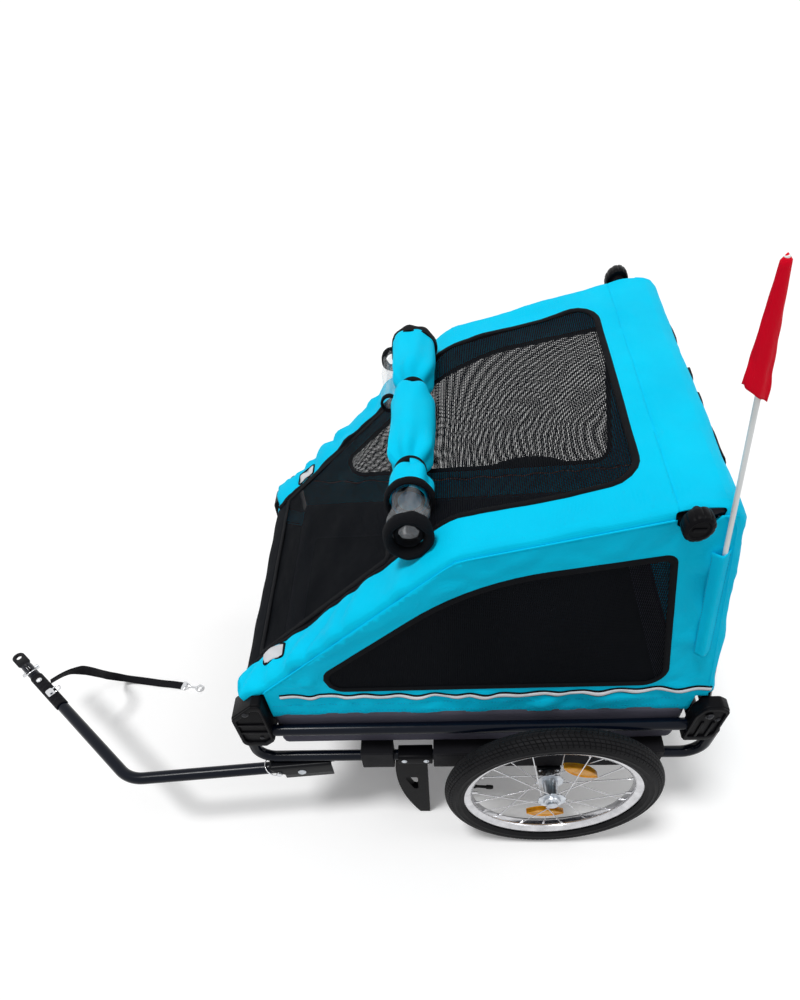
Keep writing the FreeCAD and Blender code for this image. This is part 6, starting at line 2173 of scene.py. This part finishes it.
@dataclass
class RainCover:
    """The rolled rain cover tied above the door."""

    radius: float = 0.0335
    near: float = -0.178
    far: float = 0.214
    bands: tuple[float, ...] = (-0.115, 0.09)
    film_end: float = -0.246
    spare_place: Point2 = (-0.037, -0.004)
    lip_share: float = 0.96
    lining_length: float = 0.06
    cloth_wall: float = 0.0012
    body: str = "front_frame"

    def __post_init__(self) -> None:
        """Find the roll's middle line from the frame."""
        low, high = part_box("rain_cover_roll")
        middle = (low + high) / 2.0
        self.middle = Vector((middle.x, 0.0, middle.z))

    def spot(self, y: float, angle: float, radius: float) -> Vector:
        """Give a point of the roll."""
        return self.middle + Vector((radius * cos(angle), y, radius * sin(angle)))

    def girth(self, y: float) -> float:
        """Radius of the roll, drawn in at its bands and fuller towards the far end.

        Args:
            y: Place across the trailer.

        Returns:
            The radius.
        """
        pinch = sum(exp(-((y - place) / 0.021) ** 2) for place in self.bands)
        fuller = 0.0026 * ease((y - 0.1) / 0.06) - 0.003 * ease((-0.12 - y) / 0.05)
        return self.radius + fuller - 0.0135 * pinch

    def build(self) -> None:
        """Make the roll, its bands, the clear film at its ends and the black edging."""
        self.build_roll()
        self.build_bands()
        self.build_film()
        self.build_edging()

    def build_roll(self) -> None:
        """Roll the cover: one edge lies on the outside as a step, with gathers at the bands."""

        def place(along: float, turn: float) -> Vector:
            """Place a point of the roll.

            Args:
                along: Share of the way along it.
                turn: Share of the way round or across it.

            Returns:
                The point.
            """
            y = self.near + (self.far - self.near) * along
            share = min(1.0, turn / self.lip_share)
            angle = TAU * share + 2.6
            closing = ease((turn - self.lip_share) / (1.0 - self.lip_share))
            spiral = 0.004 * share * (1.0 - closing)
            fold = 0.0036 * ripple(y * 12.0, 1.6 * cos(angle), 1.6 * sin(angle))
            near_band = min(abs(y - tied) for tied in self.bands)
            loose = 1.0 - exp(-(near_band / 0.012) ** 2)
            gather = 0.004 * exp(-(near_band / 0.045) ** 2) * sin(6.0 * angle + 30.0 * y)
            return self.spot(y, angle, self.girth(y) + (spiral + fold + gather) * loose - 0.002)

        shape = mapped_grid(110, 72, place, (self.far - self.near, TAU * self.radius))
        roll = add("cover_roll", shape, BLUE_CLOTH, self.body, ["rain_cover_roll"], 55.0, self.cloth_wall)

        def lining(along: float, turn: float) -> Vector:
            """Place a point of the turn of cloth inside the roll's near end.

            Args:
                along: Share of the way along it.
                turn: Share of the way round or across it.

            Returns:
                The point.
            """
            y = self.near - 0.001 + self.lining_length * along
            angle = TAU * 1.15 * turn + 0.6
            soft = 0.0015 * ripple(y * 30.0, angle, 2.0)
            return self.spot(y, angle, 0.017 + 0.007 * turn + soft)

        inner = mapped_grid(16, 60, lining, (self.lining_length, 0.15))
        add("cover_lining", inner, BLUE_CLOTH, self.body, angle=55.0, thick=self.cloth_wall)

    def build_bands(self) -> None:
        """Stretch the two elastic bands round the roll."""
        shapes = []
        for place in self.bands:
            inner = self.girth(place) + 0.0012
            half = [(0.0, inner + 0.002), (0.003, inner + 0.0026), (0.0055, inner + 0.0016),
                    (0.0055, inner - 0.002)]
            profile = [*((-along, radius) for along, radius in reversed(half[1:])), *half]
            shapes.append(lathe(profile, self.middle + ACROSS * place, ACROSS, 44, closed=True))
        add("cover_bands", joined(*shapes), BLACK_TAPE, self.body)

    def crumpled(self, start: float, end: float, sizes: Point2, off: Point2 = (0.0, 0.0)) -> BMesh:
        """Crumple a tube of clear film along the roll.

        Args:
            start: Where it starts across the trailer.
            end: Where it ends.
            sizes: Its radius at both ends.
            off: How far its middle lies off the roll's, along the trailer and up.

        Returns:
            The tube.
        """
        def place(along: float, turn: float) -> Vector:
            """Place a point of the film.

            Args:
                along: Share of the way along it.
                turn: Share of the way round or across it.

            Returns:
                The point.
            """
            y = start + (end - start) * along
            angle = TAU * turn
            size = sizes[0] + (sizes[1] - sizes[0]) * along
            spot = Vector((y * 40.0, 1.8 * cos(angle), 1.8 * sin(angle) + size * 90.0))
            crumple = 0.24 * size * noise.noise(spot) + 0.1 * size * sin(5.0 * angle + 60.0 * y)
            return self.spot(y, angle, size + crumple) + Vector((off[0], 0.0, off[1]))

        return mapped_grid(26, 44, place, (end - start, TAU * sizes[0]))

    def build_film(self) -> None:
        """Crumple the clear film that comes out of the near end, and the film roll beside the far end."""
        start, end, spare = self.near + 0.014, self.film_end, self.spare_place
        shapes = [
            self.crumpled(start, end, (0.023, 0.0285)),
            self.crumpled(start, end, (0.015, 0.019)),
            self.crumpled(0.07, 0.206, (0.012, 0.015), spare),
            self.crumpled(0.08, 0.2, (0.006, 0.0085), spare),
        ]
        add("cover_film", joined(*shapes), FILM, self.body, angle=70.0)

    def ring(self, y: float, size: float, thick: float, off: Point2 = (0.0, 0.0)) -> BMesh:
        """Roll black edging into a lumpy ring.

        Args:
            y: Where it lies across the trailer.
            size: Radius of its middle line.
            thick: Half its thickness.
            off: How far its middle lies off the roll's, along the trailer and up.

        Returns:
            The ring.
        """
        def place(along: float, turn: float) -> Vector:
            """Place a point of the ring.

            Args:
                along: Share of the way along it.
                turn: Share of the way round or across it.

            Returns:
                The point.
            """
            angle, bend = TAU * along, TAU * turn
            lump = 1.0 + 0.2 * ripple(2.4 * cos(angle), 2.4 * sin(angle), y * 50.0)
            swell = thick * lump
            point = self.spot(y + 1.7 * swell * sin(bend), angle, size + swell * cos(bend))
            return point + Vector((off[0], 0.0, off[1]))

        return mapped_grid(52, 14, place, (TAU * size, TAU * thick))

    def build_edging(self) -> None:
        """Bind the cover's edges in black: rings at the openings and a gathered cap at the far end."""
        profile = [(-0.006, 0.035), (-0.005, 0.0385), (0.004, 0.0385), (0.016, 0.037), (0.023, 0.032),
                   (0.025, 0.024), (0.018, 0.015), (0.018, 0.0)]
        cap = lathe(profile, self.middle + ACROSS * self.far, ACROSS, 48)
        for vert in cap.verts:
            spoke = vert.co - self.middle
            angle = atan2(spoke.z, spoke.x)
            swell = 1.0 + 0.05 * sin(3.0 * angle + 0.7) + 0.03 * sin(8.0 * angle)
            vert.co = self.middle + Vector((spoke.x * swell, spoke.y, spoke.z * swell))
        shapes = [
            self.ring(self.near, self.girth(self.near) + 0.0012, 0.0042),
            self.ring(self.near - 0.001, 0.019, 0.0026),
            self.ring(self.film_end - 0.004, 0.028, 0.0066),
            self.ring(self.film_end + 0.002, 0.0175, 0.0038),
            self.ring(0.206, 0.014, 0.0046, self.spare_place),
            self.ring(0.072, 0.012, 0.0026, self.spare_place),
            cap,
        ]
        add("cover_edging", joined(*shapes), BLACK_TAPE, self.body)


@dataclass
class Flag:
    """The flag: a white pole with a cap, and a limp red pennant."""

    drop: float = 0.128
    front_drop: float = 0.104
    spread: float = 0.0085
    body: str = "flag"

    def __post_init__(self) -> None:
        """Find the pole's line from the frame."""
        self.way = joint_axis("flag_lift")
        self.across = Vector((self.way.z, 0.0, -self.way.x))
        low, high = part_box("flag_pole")
        self.top = Vector((low.x + 0.003, (low.y + high.y) / 2.0, high.z - 0.0006))
        self.length = (high.z - low.z) / self.way.z

    def build(self) -> None:
        """Make the pole and the pennant."""
        long = self.length
        profile = [(0.0, 0.0), (0.0, 0.0026), (0.001, 0.003), (long - 0.004, 0.003), (long - 0.001, 0.0026),
                   (long - 0.0002, 0.0)]
        pole = lathe(profile, self.top - self.way * long, self.way, 20)
        add("pole_rod", pole, POLE_WHITE, self.body, ["flag_pole"])
        self.build_cloth()

    def build_cloth(self) -> None:
        """Hang the pennant limp round the pole: narrow above, wider below, with a slanting lower edge."""

        def place(along: float, turn: float) -> Vector:
            """Place a point of the pennant.

            Args:
                along: Share of the way along it.
                turn: Share of the way round or across it.

            Returns:
                The point.
            """
            angle = TAU * turn
            rear = (1.0 + cos(angle)) / 2.0
            fall = along * (self.front_drop + (self.drop - self.front_drop) * rear)
            closing = ease((along + 0.004) / 0.05)
            half = (0.0042 + self.spread * along) * closing
            deep = (0.004 + 0.003 * along) * closing
            fold = 0.3 * sin(3.0 * angle + 0.8) + 0.16 * sin(5.0 * angle + 2.0 * along)
            spot = Vector((along * 7.0, 2.0 * cos(angle), 2.0 * sin(angle)))
            reach = half * cos(angle) - 0.0035 * along + 0.0016 * along * noise.noise(spot)
            out = deep * sin(angle) * (1.0 + along * fold)
            return self.top + self.way * (0.0006 - fall) + self.across * reach + ACROSS * out

        shape = mapped_grid(44, 48, place, (self.drop, 0.08))
        area = area_of(shape)
        cloth = add("pennant", shape, RED_CLOTH, self.body, ["flag_cloth"], angle=70.0, thick=0.0006)


# Camera, light and floor


@dataclass
class Studio:
    """The camera at the photograph's angle, soft light and a pale floor."""

    eye: tuple[float, float, float] = (-0.19945, -0.91701, 1.26529)
    yaw: float = 0.185978
    pitch: float = 1.014091
    roll: float = 0.171358
    lens: float = 22.31
    shift: Point2 = (0.0166, 0.2479)
    ambient: float = 0.4
    floor_half: float = 14.0

    def build(self) -> None:
        """Set up the camera, the lamps, the sky and the floor."""
        self.build_camera()
        self.build_lamps()
        self.build_sky()
        self.build_floor()
        bpy.context.scene.view_settings.view_transform = "Standard"

    def build_camera(self) -> None:
        """Stand the camera where the photograph was taken from."""
        data = bpy.data.cameras.new("photo_camera")
        data.lens = self.lens
        data.shift_x, data.shift_y = self.shift
        data.clip_start = 0.02
        camera = bpy.data.objects.new("photo_camera", data)
        bpy.context.scene.collection.objects.link(camera)
        ahead = Vector((-sin(self.yaw) * cos(self.pitch), cos(self.yaw) * cos(self.pitch),
                        -sin(self.pitch)))
        level = Vector((cos(self.yaw), sin(self.yaw), 0.0))
        down = ahead.cross(level)
        right = level * cos(self.roll) + down * sin(self.roll)
        below = down * cos(self.roll) - level * sin(self.roll)
        turn = Matrix((right, -below, -ahead)).transposed().to_4x4()
        camera.matrix_world = Matrix.Translation(at(*self.eye)) @ turn
        bpy.context.scene.camera = camera

    def build_lamps(self) -> None:
        """Hang a broad key light and a weaker light from the other side."""
        for name, strength, angle, aim in (
            ("key", 1.75, 14.0, Vector((0.3, 0.14, -1.0))),
            ("fill", 0.4, 30.0, Vector((-0.7, 0.1, -0.8))),
        ):
            data = bpy.data.lights.new(name, "SUN")
            data.energy = strength
            data.angle = radians(angle)
            lamp = bpy.data.objects.new(name, data)
            lamp.rotation_mode = "QUATERNION"
            lamp.rotation_quaternion = aim.to_track_quat("-Z", "Y")
            bpy.context.scene.collection.objects.link(lamp)

    def build_sky(self) -> None:
        """Make a sky that looks white, and lights the object softly."""
        world = bpy.data.worlds.new("studio")
        bpy.context.scene.world = world
        recipe = Recipe(world)
        recipe.tree.nodes.clear()
        soft, seen = (recipe.node("ShaderNodeBackground", {"Color": WHITE, "Strength": strength}).outputs[0]
                      for strength in (self.ambient, 1.0))
        mix = recipe.node("ShaderNodeMixShader", {"Fac": recipe.in_sight(), 1: soft, 2: seen})
        recipe.node("ShaderNodeOutputWorld", {"Surface": mix.outputs[0]})

    def build_floor(self) -> None:
        """Lay the pale floor that the trailer stands on."""
        shape = bmesh.new()
        bmesh.ops.create_grid(shape, x_segments=1, y_segments=1, size=self.floor_half)
        bmesh.ops.translate(shape, vec=(0.0, 0.0, -0.0005), verts=shape.verts[:])
        mesh = bpy.data.meshes.new("floor")
        shape.to_mesh(mesh)
        shape.free()
        material = bpy.data.materials.new("pale_floor")
        mesh.materials.append(material)
        recipe = Recipe(material)
        recipe.shade({"Base Color": (0.6, 0.6, 0.6, 1.0), "Roughness": 0.9, "Specular IOR Level": 0.0})
        lit = recipe.tree.nodes["Principled BSDF"].outputs[0]
        pale = recipe.node("ShaderNodeBsdfDiffuse", {"Color": (0.96, 0.96, 0.96, 1.0)})
        glow = recipe.node("ShaderNodeEmission", {"Color": WHITE, "Strength": 0.1})
        white = recipe.node("ShaderNodeAddShader", {0: pale.outputs[0], 1: glow.outputs[0]})
        mix = recipe.node("ShaderNodeMixShader", {"Fac": recipe.in_sight(), 1: lit, 2: white.outputs[0]})
        recipe.feed(recipe.tree.nodes["Material Output"].inputs["Surface"], mix.outputs[0])
        floor = bpy.data.objects.new("floor", mesh)
        bpy.context.scene.collection.objects.link(floor)


def main() -> None:
    """Build every sub-assembly in order."""
    logging.basicConfig(level=logging.INFO, format="%(message)s")
    Studio().build()
    Drawbar().build()
    for name, side in SIDES.items():
        Wheel(name, side).build()
    Base().build()
    Cabin().build()
    RainCover().build()
    Flag().build()


if __name__ == "__main__":
    main()
